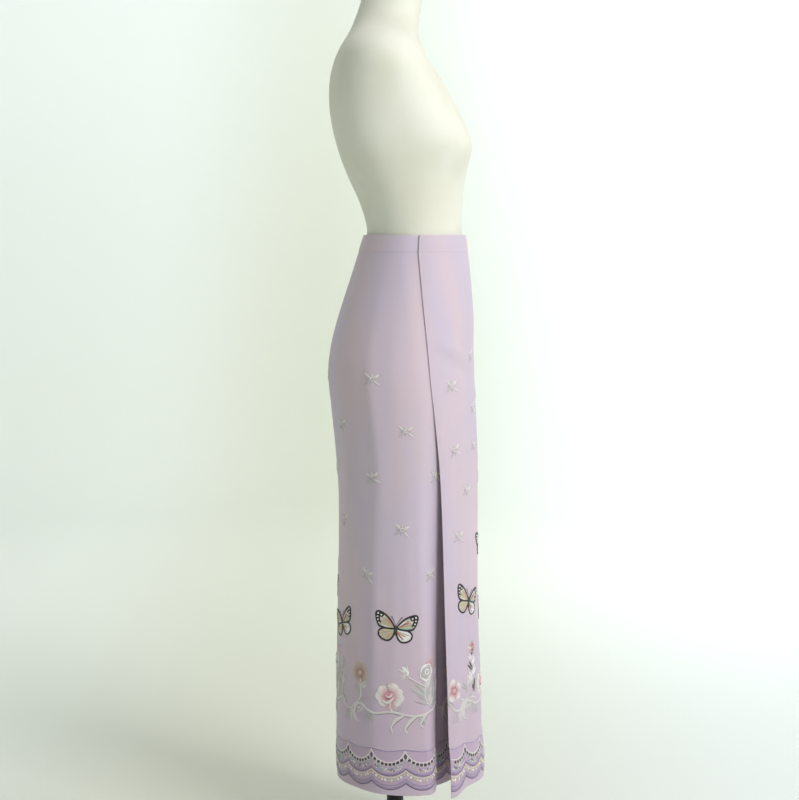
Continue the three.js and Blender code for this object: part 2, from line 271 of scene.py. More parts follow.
def angle_of(along, z):
    """The angle of a place on the cloth; on the flap the columns lean with its slanting edge."""
    at_hem = np.interp(along + FREE_EDGE_ARC, HEM_ARC, DEGREES)
    share = (at_hem - HEM_EDGE) / (LEFT_SEAM_ANGLE - HEM_EDGE)
    edge = curve(FLAP, "edge", z)
    on_flap = edge + (LEFT_SEAM_ANGLE - edge) * share
    return np.where(at_hem < LEFT_SEAM_ANGLE, on_flap, at_hem)


def cloth_base(along, above):
    """Points of the cloth's outer surface."""
    z = HEM_Z + above
    angle = angle_of(along, z)
    from_right = np.minimum(angle, np.abs(TURN - angle))
    lowered = SIDE_DROP * smoothstep(1 - from_right / SIDE_REACH)
    lowered = lowered + CORNER_DROP * smoothstep(1 - along / CORNER_REACH)
    tuck_from = curve(FLAP, "tuck_from", z)
    before_edge = angle - (TURN + curve(FLAP, "edge", z) - tuck_from)
    tuck_share = before_edge / (tuck_from + TUCK_ENDS_AFTER)
    tucked = curve(FLAP, "tuck", z) * smoothstep(tuck_share)
    flared = curve(FLAP, "flare", z) * smoothstep(1 - along / FLARE_REACH)
    point = skirt_point(angle, z, fold_at(angle, z) + flared - tucked)
    point[..., 2] -= lowered * smoothstep(1 - above / DROP_FADES_ABOVE)
    return point


def on_cloth(along, above, lift=0.0):
    """Points on the cloth, moved out along its normal by lift."""
    along, above, lift = np.broadcast_arrays(
        np.asarray(along, float), np.asarray(above, float), np.asarray(lift, float)
    )
    step = 1.0
    across = cloth_base(along + step, above) - cloth_base(along - step, above)
    up = cloth_base(along, above + step) - cloth_base(along, above - step)
    normal = np.cross(across, up)
    normal /= np.linalg.norm(normal, axis=-1, keepdims=True)
    return cloth_base(along, above) + normal * lift[..., None]


def evenly(start, end, step):
    """Numbers from start to end, about step apart."""
    return np.linspace(start, end, max(2, round(abs(end - start) / step) + 1))


# Meshes

def link(name, data):
    """A new object of the scene."""
    made = bpy.data.objects.new(name, data)
    bpy.context.scene.collection.objects.link(made)
    return made


def ring_faces(levels, count):
    """The numbers of the points of closed rings, one over the other, and the faces between the rings."""
    index = np.arange(levels * count).reshape(levels, count)
    beside = np.roll(index, -1, 1)
    return index, np.stack([index[:-1], beside[:-1], beside[1:], index[1:]], -1).reshape(-1, 4)


def add_object(name, points, faces, materials, uvs=None, material_of_face=None, smooth_below=None):
    """A mesh object that moves with the part. points are in millimetres, and so are uvs, one to a point."""
    points, faces = np.asarray(points, float), [tuple(map(int, face)) for face in faces]
    used = np.zeros(len(points), bool)
    used[[i for face in faces for i in face]] = True
    place = np.cumsum(used) - 1
    faces = [tuple(place[i] for i in face) for face in faces]
    mesh = bpy.data.meshes.new(name)
    mesh.from_pydata((points[used] * MM).tolist(), [], faces)
    for material in materials:
        mesh.materials.append(material)
    if uvs is not None:
        layer = mesh.uv_layers.new(name="cloth_place")
        corners = np.fromiter((loop.vertex_index for loop in mesh.loops), int, len(mesh.loops))
        layer.data.foreach_set("uv", (np.asarray(uvs, float)[used][corners]).ravel())
    if material_of_face is not None:
        mesh.polygons.foreach_set("material_index", np.asarray(material_of_face, np.int32))
    mesh.shade_smooth()
    if smooth_below is not None:
        mesh.set_sharp_from_angle(angle=math.radians(smooth_below))
    mesh.validate()
    made = link(name, mesh)
    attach(made, "root")
    return made


def shell(name, outer, inner, uv, materials, cut=None):
    """A thin closed shell between two grids of points, with walls round its rim and round each cut cell."""
    rows = outer.shape[1]
    index = np.arange(outer.shape[0] * rows).reshape(outer.shape[:2])
    kept = np.ones((outer.shape[0] - 1, rows - 1), bool)
    if cut is not None:
        kept &= ~cut
    corner = (slice(None, -1), slice(1, None))
    a, b = index[corner[0], corner[0]], index[corner[1], corner[0]]
    c, d = index[corner[1], corner[1]], index[corner[0], corner[1]]
    faces = np.stack([a, b, c, d], -1)[kept].tolist()
    faces += (np.stack([a, d, c, b], -1)[kept] + index.size).tolist()
    framed = np.pad(kept, 1)
    for i, j in np.argwhere(kept):
        for present, p, q in (
            (framed[i + 1, j], index[i, j], index[i + 1, j]),
            (framed[i + 2, j + 1], index[i + 1, j], index[i + 1, j + 1]),
            (framed[i + 1, j + 2], index[i + 1, j + 1], index[i, j + 1]),
            (framed[i, j + 1], index[i, j + 1], index[i, j]),
        ):
            if not present:
                faces.append((q, p, p + index.size, q + index.size))
    points = np.concatenate([outer.reshape(-1, 3), inner.reshape(-1, 3)])
    uvs = np.concatenate([uv.reshape(-1, 2)] * 2)
    return add_object(name, points, faces, materials, uvs, smooth_below=50)


def cloth_shell(name, along, above, materials, cut=None):
    """A shell of cloth over a grid of places on it."""
    outer, inner = on_cloth(along, above), on_cloth(along, above, -CLOTH)
    return shell(name, outer, inner, np.stack([along, above], -1), materials, cut)


# Materials

def linear(red, green, blue):
    """An 8-bit display colour as a linear one."""
    parts = np.array([red, green, blue]) / 255
    parts = np.where(parts <= 0.04045, parts / 12.92, ((parts + 0.055) / 1.055) ** 2.4)
    return (*parts.tolist(), 1.0)


class Surface:
    """A material with one shader, and short ways to add nodes to it."""

    def __init__(self, name, colour, roughness, metallic=0.0, sheen=0.0, specular=0.3):
        self.material = bpy.data.materials.new(name)
        self.material.use_nodes = True
        self.tree = self.material.node_tree
        self.shader = self.tree.nodes["Principled BSDF"]
        self.set("Base Color", colour)
        self.set("Roughness", roughness)
        self.set("Metallic", metallic)
        self.set("Sheen Weight", sheen)
        self.set("Specular IOR Level", specular)
        self.material.diffuse_color = colour

    def set(self, socket, value):
        self.shader.inputs[socket].default_value = value

    def node(self, kind, settings=None, **links):
        """A node with some settings, and with inputs that are either values or other nodes' outputs."""
        made = self.tree.nodes.new(kind)
        for key, value in (settings or {}).items():
            setattr(made, key, value)
        for key, value in links.items():
            socket = made.inputs[int(key[1:])] if key[1:].isdigit() else made.inputs[key.replace("_", " ")]
            if isinstance(value, bpy.types.NodeSocket):
                self.tree.links.new(value, socket)
            else:
                socket.default_value = value
        return made

    def place(self):
        return self.node("ShaderNodeTexCoord").outputs["UV"]

    def object_place(self):
        return self.node("ShaderNodeTexCoord").outputs["Object"]

    def noise(self, vector, scale, detail):
        return self.node("ShaderNodeTexNoise", Vector=vector, Scale=scale, Detail=detail).outputs["Fac"]

    def stretched(self, vector, x, y, z=1.0):
        return self.node("ShaderNodeMapping", Vector=vector, Scale=(x, y, z)).outputs["Vector"]

    def remap(self, value, low, high, to_low=0.0, to_high=1.0):
        """A soft step of a value, from one range to another."""
        made = self.node(
            "ShaderNodeMapRange",
            {"interpolation_type": "SMOOTHSTEP"},
            Value=value,
            From_Min=low,
            From_Max=high,
            To_Min=to_low,
            To_Max=to_high,
        )
        return made.outputs["Result"]

    def mix(self, share, first, second):
        made = self.node("ShaderNodeMix", {"data_type": "RGBA"}, _0=share, _6=first, _7=second)
        return made.outputs[2]

    def math(self, operation, first, second):
        return self.node("ShaderNodeMath", {"operation": operation}, _0=first, _1=second).outputs[0]

    def split(self, vector):
        return self.node("ShaderNodeSeparateXYZ", Vector=vector).outputs

    def colour_from(self, output):
        self.tree.links.new(output, self.shader.inputs["Base Color"])

    def raise_by(self, height, distance, strength):
        """Bump the surface by a height, of which 1 is a distance in metres."""
        bumped = self.node("ShaderNodeBump", Height=height, Distance=distance, Strength=strength)
        self.tree.links.new(bumped.outputs["Normal"], self.shader.inputs["Normal"])


LILAC = linear(208, 192, 206)
LILAC_WARM = linear(212, 193, 203)
LILAC_COOL = linear(205, 191, 208)
BAND_PURPLE = linear(190, 167, 191)
# The purple tints by height above the hem: where each starts, where it is full, and its share. The first
# lies in the border, the second makes the cloth darker and more purple from 460 mm down towards the border,
# and the last row is taken off again below the scallops.
BORDER_TINTS = ((BAND_DEPTH + 1, BAND_DEPTH - 3, 0.9), (460.0, 70.0, 0.42), (22.0, 10.0, 0.5))
DYE_SCALE = (0.011, 0.0035)
PEBBLE_SCALE = 1.1
YARN_ACROSS, YARN_ALONG = 2.2, 0.16
WEAVE_DEPTH = 0.00035


def crepe():
    """Lilac crepe: fine pebbled weave, slightly uneven dye, a more purple border below the cord line, and a
    darker, more purple tone that fades upwards from the border over the skirt's lower part.
    """
    cloth = Surface("lilac_crepe", LILAC, 0.78, sheen=0.25, specular=0.25)
    cloth.set("Sheen Roughness", 0.45)
    place = cloth.place()
    dye = cloth.remap(cloth.noise(cloth.stretched(place, *DYE_SCALE), 1.0, 3.0), 0.35, 0.65)
    ground = cloth.mix(dye, LILAC_WARM, LILAC_COOL)
    above = cloth.split(place)[1]
    in_border, darker_towards_hem, below_scallops = (
        cloth.remap(above, start, full, 0.0, share) for start, full, share in BORDER_TINTS
    )
    tint = cloth.math("SUBTRACT", cloth.math("MAXIMUM", in_border, darker_towards_hem), below_scallops)
    cloth.colour_from(cloth.mix(tint, ground, BAND_PURPLE))
    pebble = cloth.noise(place, PEBBLE_SCALE, 2.0)
    warp = cloth.noise(cloth.stretched(place, YARN_ACROSS, YARN_ALONG), 1.0, 1.0)
    weft = cloth.noise(cloth.stretched(place, YARN_ALONG, YARN_ACROSS), 1.0, 1.0)
    threads = cloth.math("ADD", cloth.math("MULTIPLY", warp, 0.5), cloth.math("MULTIPLY", weft, 0.4))
    cloth.raise_by(cloth.math("ADD", pebble, threads), WEAVE_DEPTH, 0.6)
    return cloth.material


STITCH_SCALE = 1.6
STITCH_DEPTH = 0.0004
THREAD_SHADOW = 0.82


def thread(name, colour):
    """Satin-stitched thread: fine stitches across the line, each painted lighter in its middle and with
    painted shade at its edges, and a faint random unevenness of tone.
    """
    satin = Surface(name, colour, 0.5, sheen=0.15, specular=0.4)
    along = satin.split(satin.place())[0]
    stitches = satin.math("PINGPONG", satin.math("MULTIPLY", along, STITCH_SCALE), 0.5)
    shade = satin.noise(satin.place(), 0.35, 1.0)
    # Painted shade: the thread's colour darkened where the stitches meet
    groove_shade_colour = tuple(channel * THREAD_SHADOW for channel in colour[:3]) + (1.0,)
    lit = satin.math("ADD", satin.math("MULTIPLY", stitches, 1.2), satin.math("MULTIPLY", shade, 0.6))
    satin.colour_from(satin.mix(satin.remap(lit, 0.2, 0.9), groove_shade_colour, colour))
    satin.raise_by(stitches, STITCH_DEPTH, 0.8)
    return satin.material


def petal_thread(name, heart, tip):
    """A satin-stitched petal, from the heart's colour to the tip's, each stitch painted lighter in its
    middle and with painted shade at its edges. Its uv is (hundredths of the way from heart to tip, side).
    """
    satin = Surface(name, tip, 0.5, sheen=0.15, specular=0.4)
    parts = satin.split(satin.place())
    run = satin.remap(parts[0], 12.0, 88.0)
    stitches = satin.math("PINGPONG", satin.math("MULTIPLY", parts[1], STITCH_SCALE), 0.5)
    # The heart-to-tip run of colour, plus painted light and shade across each stitch
    heart_to_tip_and_stitch_light = satin.math("ADD", run, satin.math("MULTIPLY", stitches, 0.3))
    satin.colour_from(satin.mix(heart_to_tip_and_stitch_light, heart, tip))
    satin.raise_by(stitches, STITCH_DEPTH, 0.8)
    return satin.material


def form_cover():
    """Ivory jersey stretched over the form: fine upright ribs of knit and a faint unevenness."""
    cover = Surface("ivory_cover", linear(230, 228, 214), 0.72, sheen=0.1, specular=0.3)
    place = cover.object_place()
    shade = cover.remap(cover.noise(place, 9.0, 3.0), 0.3, 0.7)
    cover.colour_from(cover.mix(shade, linear(226, 223, 207), linear(233, 232, 219)))
    knit = cover.noise(cover.stretched(place, 1400.0, 1400.0, 500.0), 1.0, 1.0)
    cover.raise_by(knit, 0.0003, 0.35)
    return cover.material


def black_metal():
    """Black satin enamel with faint unevenness."""
    enamel = Surface("black_enamel", linear(34, 30, 32), 0.38, metallic=0.2, specular=0.5)
    place = enamel.object_place()
    worn = enamel.remap(enamel.noise(place, 40.0, 4.0), 0.35, 0.7)
    enamel.colour_from(enamel.mix(worn, linear(30, 26, 28), linear(44, 39, 42)))
    enamel.raise_by(enamel.noise(place, 900.0, 2.0), 0.0002, 0.25)
    return enamel.material


CREPE = crepe()
IVORY = form_cover()
ENAMEL = black_metal()
THREAD_COLOURS = {
    "cream": (240, 234, 228),
    "grey": (202, 193, 199),
    "stem": (228, 220, 221),
    "green": (166, 168, 152),
    "sage": (200, 197, 196),
    "dark_green": (74, 84, 62),
    "black": (38, 32, 40),
    "white": (250, 248, 246),
    "beige": (214, 197, 178),
    "orange": (220, 168, 136),
    "yellow": (216, 208, 158),
    "teal": (150, 198, 182),
    "rose": (196, 112, 138),
    "pink": (222, 196, 203),
    "purple": (176, 154, 192),
    "deep_purple": (122, 102, 130),
    "bead": (238, 230, 200),
    # This dark thread is laid in the holes as painted shade
    "hole_shade": (72, 56, 72),
    "cord": (216, 204, 218),
    # This dark thread is laid beside stems and curls as their painted shadow
    "shade": (146, 132, 142),
}
# Petals: the colours of the heart and of the tip
PETAL_COLOURS = {
    "petal_pale": ((198, 132, 146), (238, 226, 226)),
    "petal_blush": ((198, 146, 158), (216, 186, 194)),
    "petal_warm": ((172, 140, 132), (206, 184, 178)),
    "petal_deep": ((178, 88, 112), (222, 158, 170)),
}
THREADS = {name: thread(f"thread_{name}", linear(*colour)) for name, colour in THREAD_COLOURS.items()}
for petal, (heart, tip) in PETAL_COLOURS.items():
    THREADS[petal] = petal_thread(petal, linear(*heart), linear(*tip))
THREAD_NUMBER = {name: number for number, name in enumerate(THREADS)}


# Stitching: closed raised shapes, gathered in cloth places and laid on the cloth all at once

# Across a raised line: share of its half width, and share of its rise
LINE_PROFILE = np.array([(-1, 0.1), (-0.6, 0.8), (0, 1), (0.6, 0.8), (1, 0.1)])
# Where the undersides of stitches lie, within the cloth
UNDER = -0.35


class Stitching:
    """Raised stitches of one piece of the cloth, gathered into a single mesh."""

    def __init__(self):
        self.shapes = []

    def add(self, colour, places, lifts, uvs, faces):
        self.shapes.append((THREAD_NUMBER[colour], places, lifts, uvs, faces))

    def line(self, colour, path, width, rise=0.6, petal=False):
        """A raised line along path. width is one number or one for each point of path."""
        path = np.asarray(path, float)
        tangent = np.gradient(path, axis=0)
        tangent /= np.maximum(np.linalg.norm(tangent, axis=1, keepdims=True), 1e-9)
        side = np.stack([-tangent[:, 1], tangent[:, 0]], 1)
        half = np.broadcast_to(np.asarray(width, float) / 2, len(path))
        reach = np.append(LINE_PROFILE[:, 0], 0)
        height = np.append(LINE_PROFILE[:, 1] * rise, UNDER)
        places = path[:, None] + side[:, None] * (half[:, None] * reach)[..., None]
        steps = np.append(0, np.cumsum(np.linalg.norm(np.diff(path, axis=0), axis=1)))
        run = 100 * steps / steps[-1] if petal else steps
        uvs = np.stack(np.broadcast_arrays(run[:, None], half[:, None] * reach), -1)
        around = len(reach)
        index = np.arange(len(path) * around).reshape(-1, around)
        beside = np.roll(index, -1, 1)
        faces = np.stack([index[:-1], index[1:], beside[1:], beside[:-1]], -1).reshape(-1, 4).tolist()
        faces += [index[0].tolist(), index[-1][::-1].tolist()]
        self.add(colour, places.reshape(-1, 2), np.tile(height, len(path)), uvs.reshape(-1, 2), faces)

    def blade(self, colour, root, angle, length, width, bend=0.0, rise=0.7, blunt=False, steps=7):
        """A leaf, stroke or blunt petal from its root at an angle, bending by some degrees to its tip."""
        share = np.linspace(0, 1, steps)
        turn = np.radians(angle + bend * (share - 0.5))
        hops = np.stack([np.cos(turn), np.sin(turn)], 1) * length / (steps - 1)
        path = np.asarray(root, float) + np.concatenate([[(0, 0)], np.cumsum(hops[:-1], axis=0)])
        if blunt:
            shape = 0.32 + 0.68 * np.sin(np.pi * np.minimum(share * 0.72, 0.5)) ** 1.3
            shape = shape * np.sqrt(np.clip(1 - (np.maximum(share - 0.55, 0) / 0.47) ** 2, 0.02, 1))
        else:
            shape = np.maximum(np.sin(np.pi * share**0.8) ** 0.8, 0.12)
        self.line(colour, path, width * shape, rise, petal=blunt)

    def dot(self, colour, centre, across, tall=None, rise=0.6, angle=0.0, sides=9):
        """A small raised oval."""
        turn = np.linspace(0, 2 * np.pi, sides, endpoint=False)
        oval = np.stack([np.cos(turn) * across / 2, np.sin(turn) * (tall or across) / 2], 1)
        self.patch(colour, np.asarray(centre, float) + rotated(oval, angle), rise)

    def patch(self, colour, outline, rise):
        """A raised patch with an outline, counter-clockwise, that is seen whole from its centre."""
        outline = np.asarray(outline, float)
        centre, number = outline.mean(axis=0), len(outline)
        rings = [(1.0, UNDER), (1.0, 0.1), (0.8, 0.8 * rise), (0.4, rise)]
        places = [centre + (outline - centre) * size for size, _ in rings] + [centre[None]] * 2
        lifts = [np.full(number, lift) for _, lift in rings] + [np.array([rise]), np.array([UNDER])]
        top, bottom = len(rings) * number, len(rings) * number + 1
        index, faces = ring_faces(len(rings), number)
        faces = faces.tolist()
        faces += [(p, q, top) for p, q in zip(index[-1], np.roll(index[-1], -1))]
        faces += [(q, p, bottom) for p, q in zip(index[0], np.roll(index[0], -1))]
        places = np.concatenate(places)
        self.add(colour, places, np.concatenate(lifts), places, faces)

    def ring(self, colour, centre, across, tall, width, rise=0.5, sides=14):
        """A raised oval line."""
        turn = np.linspace(0, 2 * np.pi, sides + 1)
        path = np.stack([np.cos(turn) * across / 2, np.sin(turn) * tall / 2], 1) + np.asarray(centre, float)
        self.line(colour, path, width, rise)

    def lay(self, name, start, end):
        """Make the mesh of the stitches that lie between two places along the cloth, cut off at both."""
        all_places, all_lifts, uvs, faces, threads, count = [], [], [], [], [], 0
        for number, places, lifts, uv, shape_faces in self.shapes:
            inside = (places[:, 0] > start) & (places[:, 0] < end)
            if inside.any():
                all_places.append(places)
                all_lifts.append(np.where(inside, lifts, UNDER))
                uvs.append(uv)
                faces += [tuple(i + count for i in face) for face in shape_faces]
                threads += [number] * len(shape_faces)
                count += len(places)
        places = np.concatenate(all_places)
        along = np.clip(places[:, 0], start, end)
        add_object(
            name,
            on_cloth(along, places[:, 1], np.concatenate(all_lifts)),
            faces,
            list(THREADS.values()),
            np.concatenate(uvs),
            threads,
            smooth_below=70,
        )


def rotated(points, angle):
    """Points turned about the origin by an angle in degrees."""
    cos, sin = math.cos(math.radians(angle)), math.sin(math.radians(angle))
    return np.asarray(points, float) @ np.array([[cos, sin], [-sin, cos]])


def smooth_path(points, step=3.0):
    """A smooth line through a few points."""
    points = np.asarray(points, float)
    ends = np.concatenate([[2 * points[0] - points[1]], points, [2 * points[-1] - points[-2]]])
    path = []
    for before, low, high, after in zip(ends, ends[1:], ends[2:], ends[3:]):
        count = max(2, round(np.linalg.norm(high - low) / step))
        for t in np.arange(count) / count:
            path.append(
                0.5
                * (
                    2 * low
                    + (high - before) * t
                    + (2 * before - 5 * low + 4 * high - after) * t**2
                    + (3 * low - before - 3 * high + after) * t**3
                )
            )
    return np.array([*path, points[-1]])


# Borders: the cusps of the scallops and the lines that follow them

def cusp_places():
    """Where the cusps lie along the cloth, over both panels."""
    flap = FIRST_CUSP + FLAP_SCALLOPS["width"] * np.arange(FLAP_SCALLOPS["count"] + 1)
    back = flap[-1] + BACK_SCALLOPS["width"] * np.arange(1, BACK_SCALLOPS["count"] + 1)
    return np.concatenate([flap, back])


CUSPS = cusp_places()


def swag(along, power=SWAG_POWER):
    """0 at a cusp and 1 in the middle of a scallop."""
    last = np.clip(np.searchsorted(CUSPS, along, side="right") - 1, 0, len(CUSPS) - 2)
    share = (along - CUSPS[last]) / (CUSPS[last + 1] - CUSPS[last])
    return 1 - np.abs(2 * share - 1) ** power


def openwork_above(along):
    """The height of the row of holes above the hem."""
    return OPENWORK_ABOVE - OPENWORK_DIP * swag(along)


def holes_between(start, end):
    """Centre, half width and half height of each hole of a hem band."""
    holes = []
    for cusp, following in zip(CUSPS, CUSPS[1:]):
        for number in range(HOLES_PER_SWAG + 1):
            centre = cusp + (following - cusp) * number / (HOLES_PER_SWAG + 1)
            if start + HOLE_FREE_END < centre < end - HOLE_FREE_END:
                holes.append((centre, CUSP_HOLE if number == 0 else HOLE))
    return holes


HOLE_STEPS = np.array([-1, -0.5, 0, 0.5, 1])
BAND_ROWS_BELOW = [0, 0.1, 0.25, 0.42, 0.6, 0.78, 0.92]
BAND_ROWS_ABOVE = [0.2, 0.6, 1]


def hem_band(name, start, end):
    """The cloth below the cord line, with rounded holes cut through."""
    holes = holes_between(start, end)
    sides = [start]
    half_heights = [HOLE["half_height"]]
    for centre, size in holes:
        sides += (centre + HOLE_STEPS * size["half_width"]).tolist()
        half_heights += [size["half_height"]] * len(HOLE_STEPS)
    sides.append(end)
    half_heights.append(HOLE["half_height"])
    sides, half_heights = np.array(sides), np.array(half_heights)
    row = openwork_above(sides)
    low, high = row - half_heights, row + half_heights
    below = [low * share for share in BAND_ROWS_BELOW]
    across = [row + half_heights * share for share in HOLE_STEPS]
    over = [high + (BAND_DEPTH - high) * share for share in BAND_ROWS_ABOVE]
    above = np.stack(below + across + over, 1)
    along = np.repeat(sides[:, None], above.shape[1], 1)
    first_row = len(below)
    cut = np.zeros((len(sides) - 1, above.shape[1] - 1), bool)
    steps = len(HOLE_STEPS)
    for number, (centre, size) in enumerate(holes):
        column = 1 + number * steps
        cut[column : column + steps - 1, first_row : first_row + steps - 1] = True
        block = (slice(column, column + steps), slice(first_row, first_row + steps))
        across_share = (along[block] - centre) / size["half_width"]
        up_share = np.broadcast_to(HOLE_STEPS, across_share.shape)
        rounding = (np.abs(across_share) ** 3 + np.abs(up_share) ** 3 + 1e-9) ** (-1 / 3)
        along[block] = centre + across_share * size["half_width"] * rounding
        middle = above[block].mean(axis=1, keepdims=True)
        above[block] = middle + (above[block] - middle) * rounding
    return cloth_shell(name, along, above, [CREPE], cut)


def scallop_line(start, end, cusp_above, dip, power=SWAG_POWER, step=3.0):
    """A path that hangs in swags from cusp to cusp."""
    cusps = CUSPS[(CUSPS > start) & (CUSPS < end)]
    along = np.unique(np.concatenate([evenly(start, end, step), cusps]))
    return np.stack([along, cusp_above - dip * swag(along, power)], 1)


# The lines over and under the holes: distance from the row of holes, and how much more of it at a cusp
LADDER_LINES = ((4.2, 6.4, "cream"), (-3.4, -3.6, "grey"))
LADDER = {"width": 1.9, "rise": 0.7, "step": 1.8}
CUSP_POWER = 7.0
RUNG = {"down": 3.0, "up": 3.4, "width": 1.3, "rise": 0.5}

# The cord line over them, its thread and the purple line of its painted shadow: colour, height over the
# line, width, rise
CORD_LINE = {"cusp_above": 80.5, "dip": 4.0, "power": 1.2}
CORD_AND_SHADOW_THREADS = (("cord", -1.0, 1.6, 0.9), ("purple", -3.2, 1.4, 0.4))

# The satin scallops below: colour, height at a cusp, dip to the middle, width, rise
SATIN_SCALLOPS = (
    ("purple", 46.0, 12.0, 3.2, 0.9),
    ("deep_purple", 43.6, 12.0, 1.0, 0.5),
    ("bead", 40.6, 12.0, 1.5, 0.7),
    ("purple", 27.4, 11.2, 2.2, 0.9),
    ("grey", 25.4, 11.3, 1.2, 0.6),
    ("purple", 23.2, 11.4, 2.4, 0.9),
    ("deep_purple", 20.8, 11.4, 1.5, 0.6),
)


def stitch_border(stitches, start, end):
    """Cord line and its painted shadow, ladder lines, painted shade in the holes, lace filling, purple
    scallops and the row of bead stitches.
    """
    cord = scallop_line(start, end, **CORD_LINE)
    # The cord, and under it a purple line of painted shadow
    for colour, over, width, rise in CORD_AND_SHADOW_THREADS:
        stitches.line(colour, cord + (0, over), width, rise)
    for lift, at_cusp, colour in LADDER_LINES:
        line = scallop_line(start, end, OPENWORK_ABOVE, OPENWORK_DIP, step=LADDER["step"])
        line[:, 1] += lift + at_cusp * (1 - swag(line[:, 0], CUSP_POWER))
        stitches.line(colour, line, LADDER["width"], LADDER["rise"])
    holes = holes_between(start, end)
    for centre, size in holes:
        stitch_hole_shade(stitches, centre, size)
    for (centre, size), (following, _) in zip(holes, holes[1:]):
        rung = (centre + following) / 2
        row = float(openwork_above(rung))
        path = [(rung, row - RUNG["down"]), (rung, row), (rung, row + RUNG["up"])]
        stitches.line("cream", path, RUNG["width"], RUNG["rise"])
    for colour, above_cusp, dip, width, rise in SATIN_SCALLOPS:
        stitches.line(colour, scallop_line(start, end, above_cusp, dip), width, rise)
    generator = np.random.default_rng(LACE_SEED)
    for cusp, following in zip(CUSPS, CUSPS[1:]):
        stitch_lace(stitches, cusp, following, start, end, generator)
        stitch_beads(stitches, cusp, following, start, end)


# Painted shade in the holes: a dark rim round each, and a few dark threads across it
HOLE_SHADE_RIM = {"inset": 0.5, "width": 1.3, "rise": 0.1, "sides": 10}
HOLE_SHADE_THREAD = {"width": 0.75, "rise": -0.1}
# Where the dark threads of painted shade cross a hole, as shares of its half width and half height
HOLE_SHADE_UPRIGHTS = (-0.6, -0.2, 0.2, 0.6)
HOLE_SHADE_CROSSINGS = (-0.4, 0.0, 0.4)


def stitch_hole_shade(stitches, centre, size):
    """Painted shade in a hole: a dark rim and a few dark threads across it, and the hole stays open between
    them.
    """
    wide, tall = size["half_width"], size["half_height"]
    middle = np.array([centre, float(openwork_above(centre))])
    rim = 2 * wide - HOLE_SHADE_RIM["inset"], 2 * tall - HOLE_SHADE_RIM["inset"]
    stitches.ring("hole_shade", middle, *rim, HOLE_SHADE_RIM["width"], HOLE_SHADE_RIM["rise"], HOLE_SHADE_RIM["sides"])
    for across in HOLE_SHADE_UPRIGHTS:
        reach = tall * math.sqrt(1 - across**2)
        ends = [(across * wide, -reach), (across * wide, 0.0), (across * wide, reach)]
        stitches.line("hole_shade", middle + ends, HOLE_SHADE_THREAD["width"], HOLE_SHADE_THREAD["rise"])
    for up in HOLE_SHADE_CROSSINGS:
        reach = wide * math.sqrt(1 - up**2)
        ends = [(-reach, up * tall), (0.0, up * tall), (reach, up * tall)]
        stitches.line("hole_shade", middle + ends, HOLE_SHADE_THREAD["width"], HOLE_SHADE_THREAD["rise"])


LACE_COLOURS = ("white", "grey", "sage", "cream", "deep_purple", "teal", "pink")
LACE_SEED = 7
# Rows of lace from the top: height at a cusp. Each row is a little flatter and shorter than the one over it.
LACE_ROWS = (57.5, 54.0, 50.5)
LACE_FLATTER = 1.6
LACE_INDENT, LACE_MORE_INDENT = 0.1, 0.03
LACE_STITCHES = 15
LACE_STITCH = {"across": 3.3, "tall": 2.0, "rise": 0.8}
LACE_LEAN = 50
FREE_END = 2


def stitch_lace(stitches, cusp, following, start, end, generator):
    """Small mixed stitches that fill each scallop under the ladder, in three rows."""
    for row, above_cusp in enumerate(LACE_ROWS):
        indent = LACE_INDENT + LACE_MORE_INDENT * row
        for share in np.linspace(indent, 1 - indent, LACE_STITCHES - row):
            along = cusp + (following - cusp) * share
            if start + FREE_END < along < end - FREE_END:
                dip = (OPENWORK_DIP - LACE_FLATTER * row) * float(swag(along, 2.0))
                colour = LACE_COLOURS[generator.integers(len(LACE_COLOURS))]
                lean = generator.uniform(-LACE_LEAN, LACE_LEAN)
                stitches.dot(colour, (along, above_cusp - dip), **LACE_STITCH, angle=lean, sides=6)


BEAD_COLOURS = ("bead", "white", "yellow", "bead", "white", "pink", "bead", "sage")
BEADS = 11
BEAD_INDENT = 0.05
BEAD_ABOVE, BEAD_DIP = 36.4, 12.2
BEAD_SLOPE = 12.5
BEAD = {"across": 4.6, "tall": 5.2, "rise": 1.2}
LOW_BEAD = 0.6


def stitch_beads(stitches, cusp, following, start, end):
    """A row of short pale stitches with a few tinted ones, between the purple lines."""
    for number, share in enumerate(np.linspace(BEAD_INDENT, 1 - BEAD_INDENT, BEADS)):
        along = cusp + (following - cusp) * share
        if start + FREE_END < along < end - FREE_END:
            drop = -BEAD_SLOPE * float(swag(along + 1) - swag(along - 1))
            slope = math.degrees(math.atan2(drop, 2.0))
            colour = BEAD_COLOURS[number % len(BEAD_COLOURS)]
            place = (along, BEAD_ABOVE - BEAD_DIP * float(swag(along)))
            tall = BEAD["tall"] * (LOW_BEAD + (1 - LOW_BEAD) * float(swag(along)))
            stitches.dot(colour, place, BEAD["across"], tall, BEAD["rise"], slope, 8)


# Garland: flowers, buds, leaves and curls along a waving stem

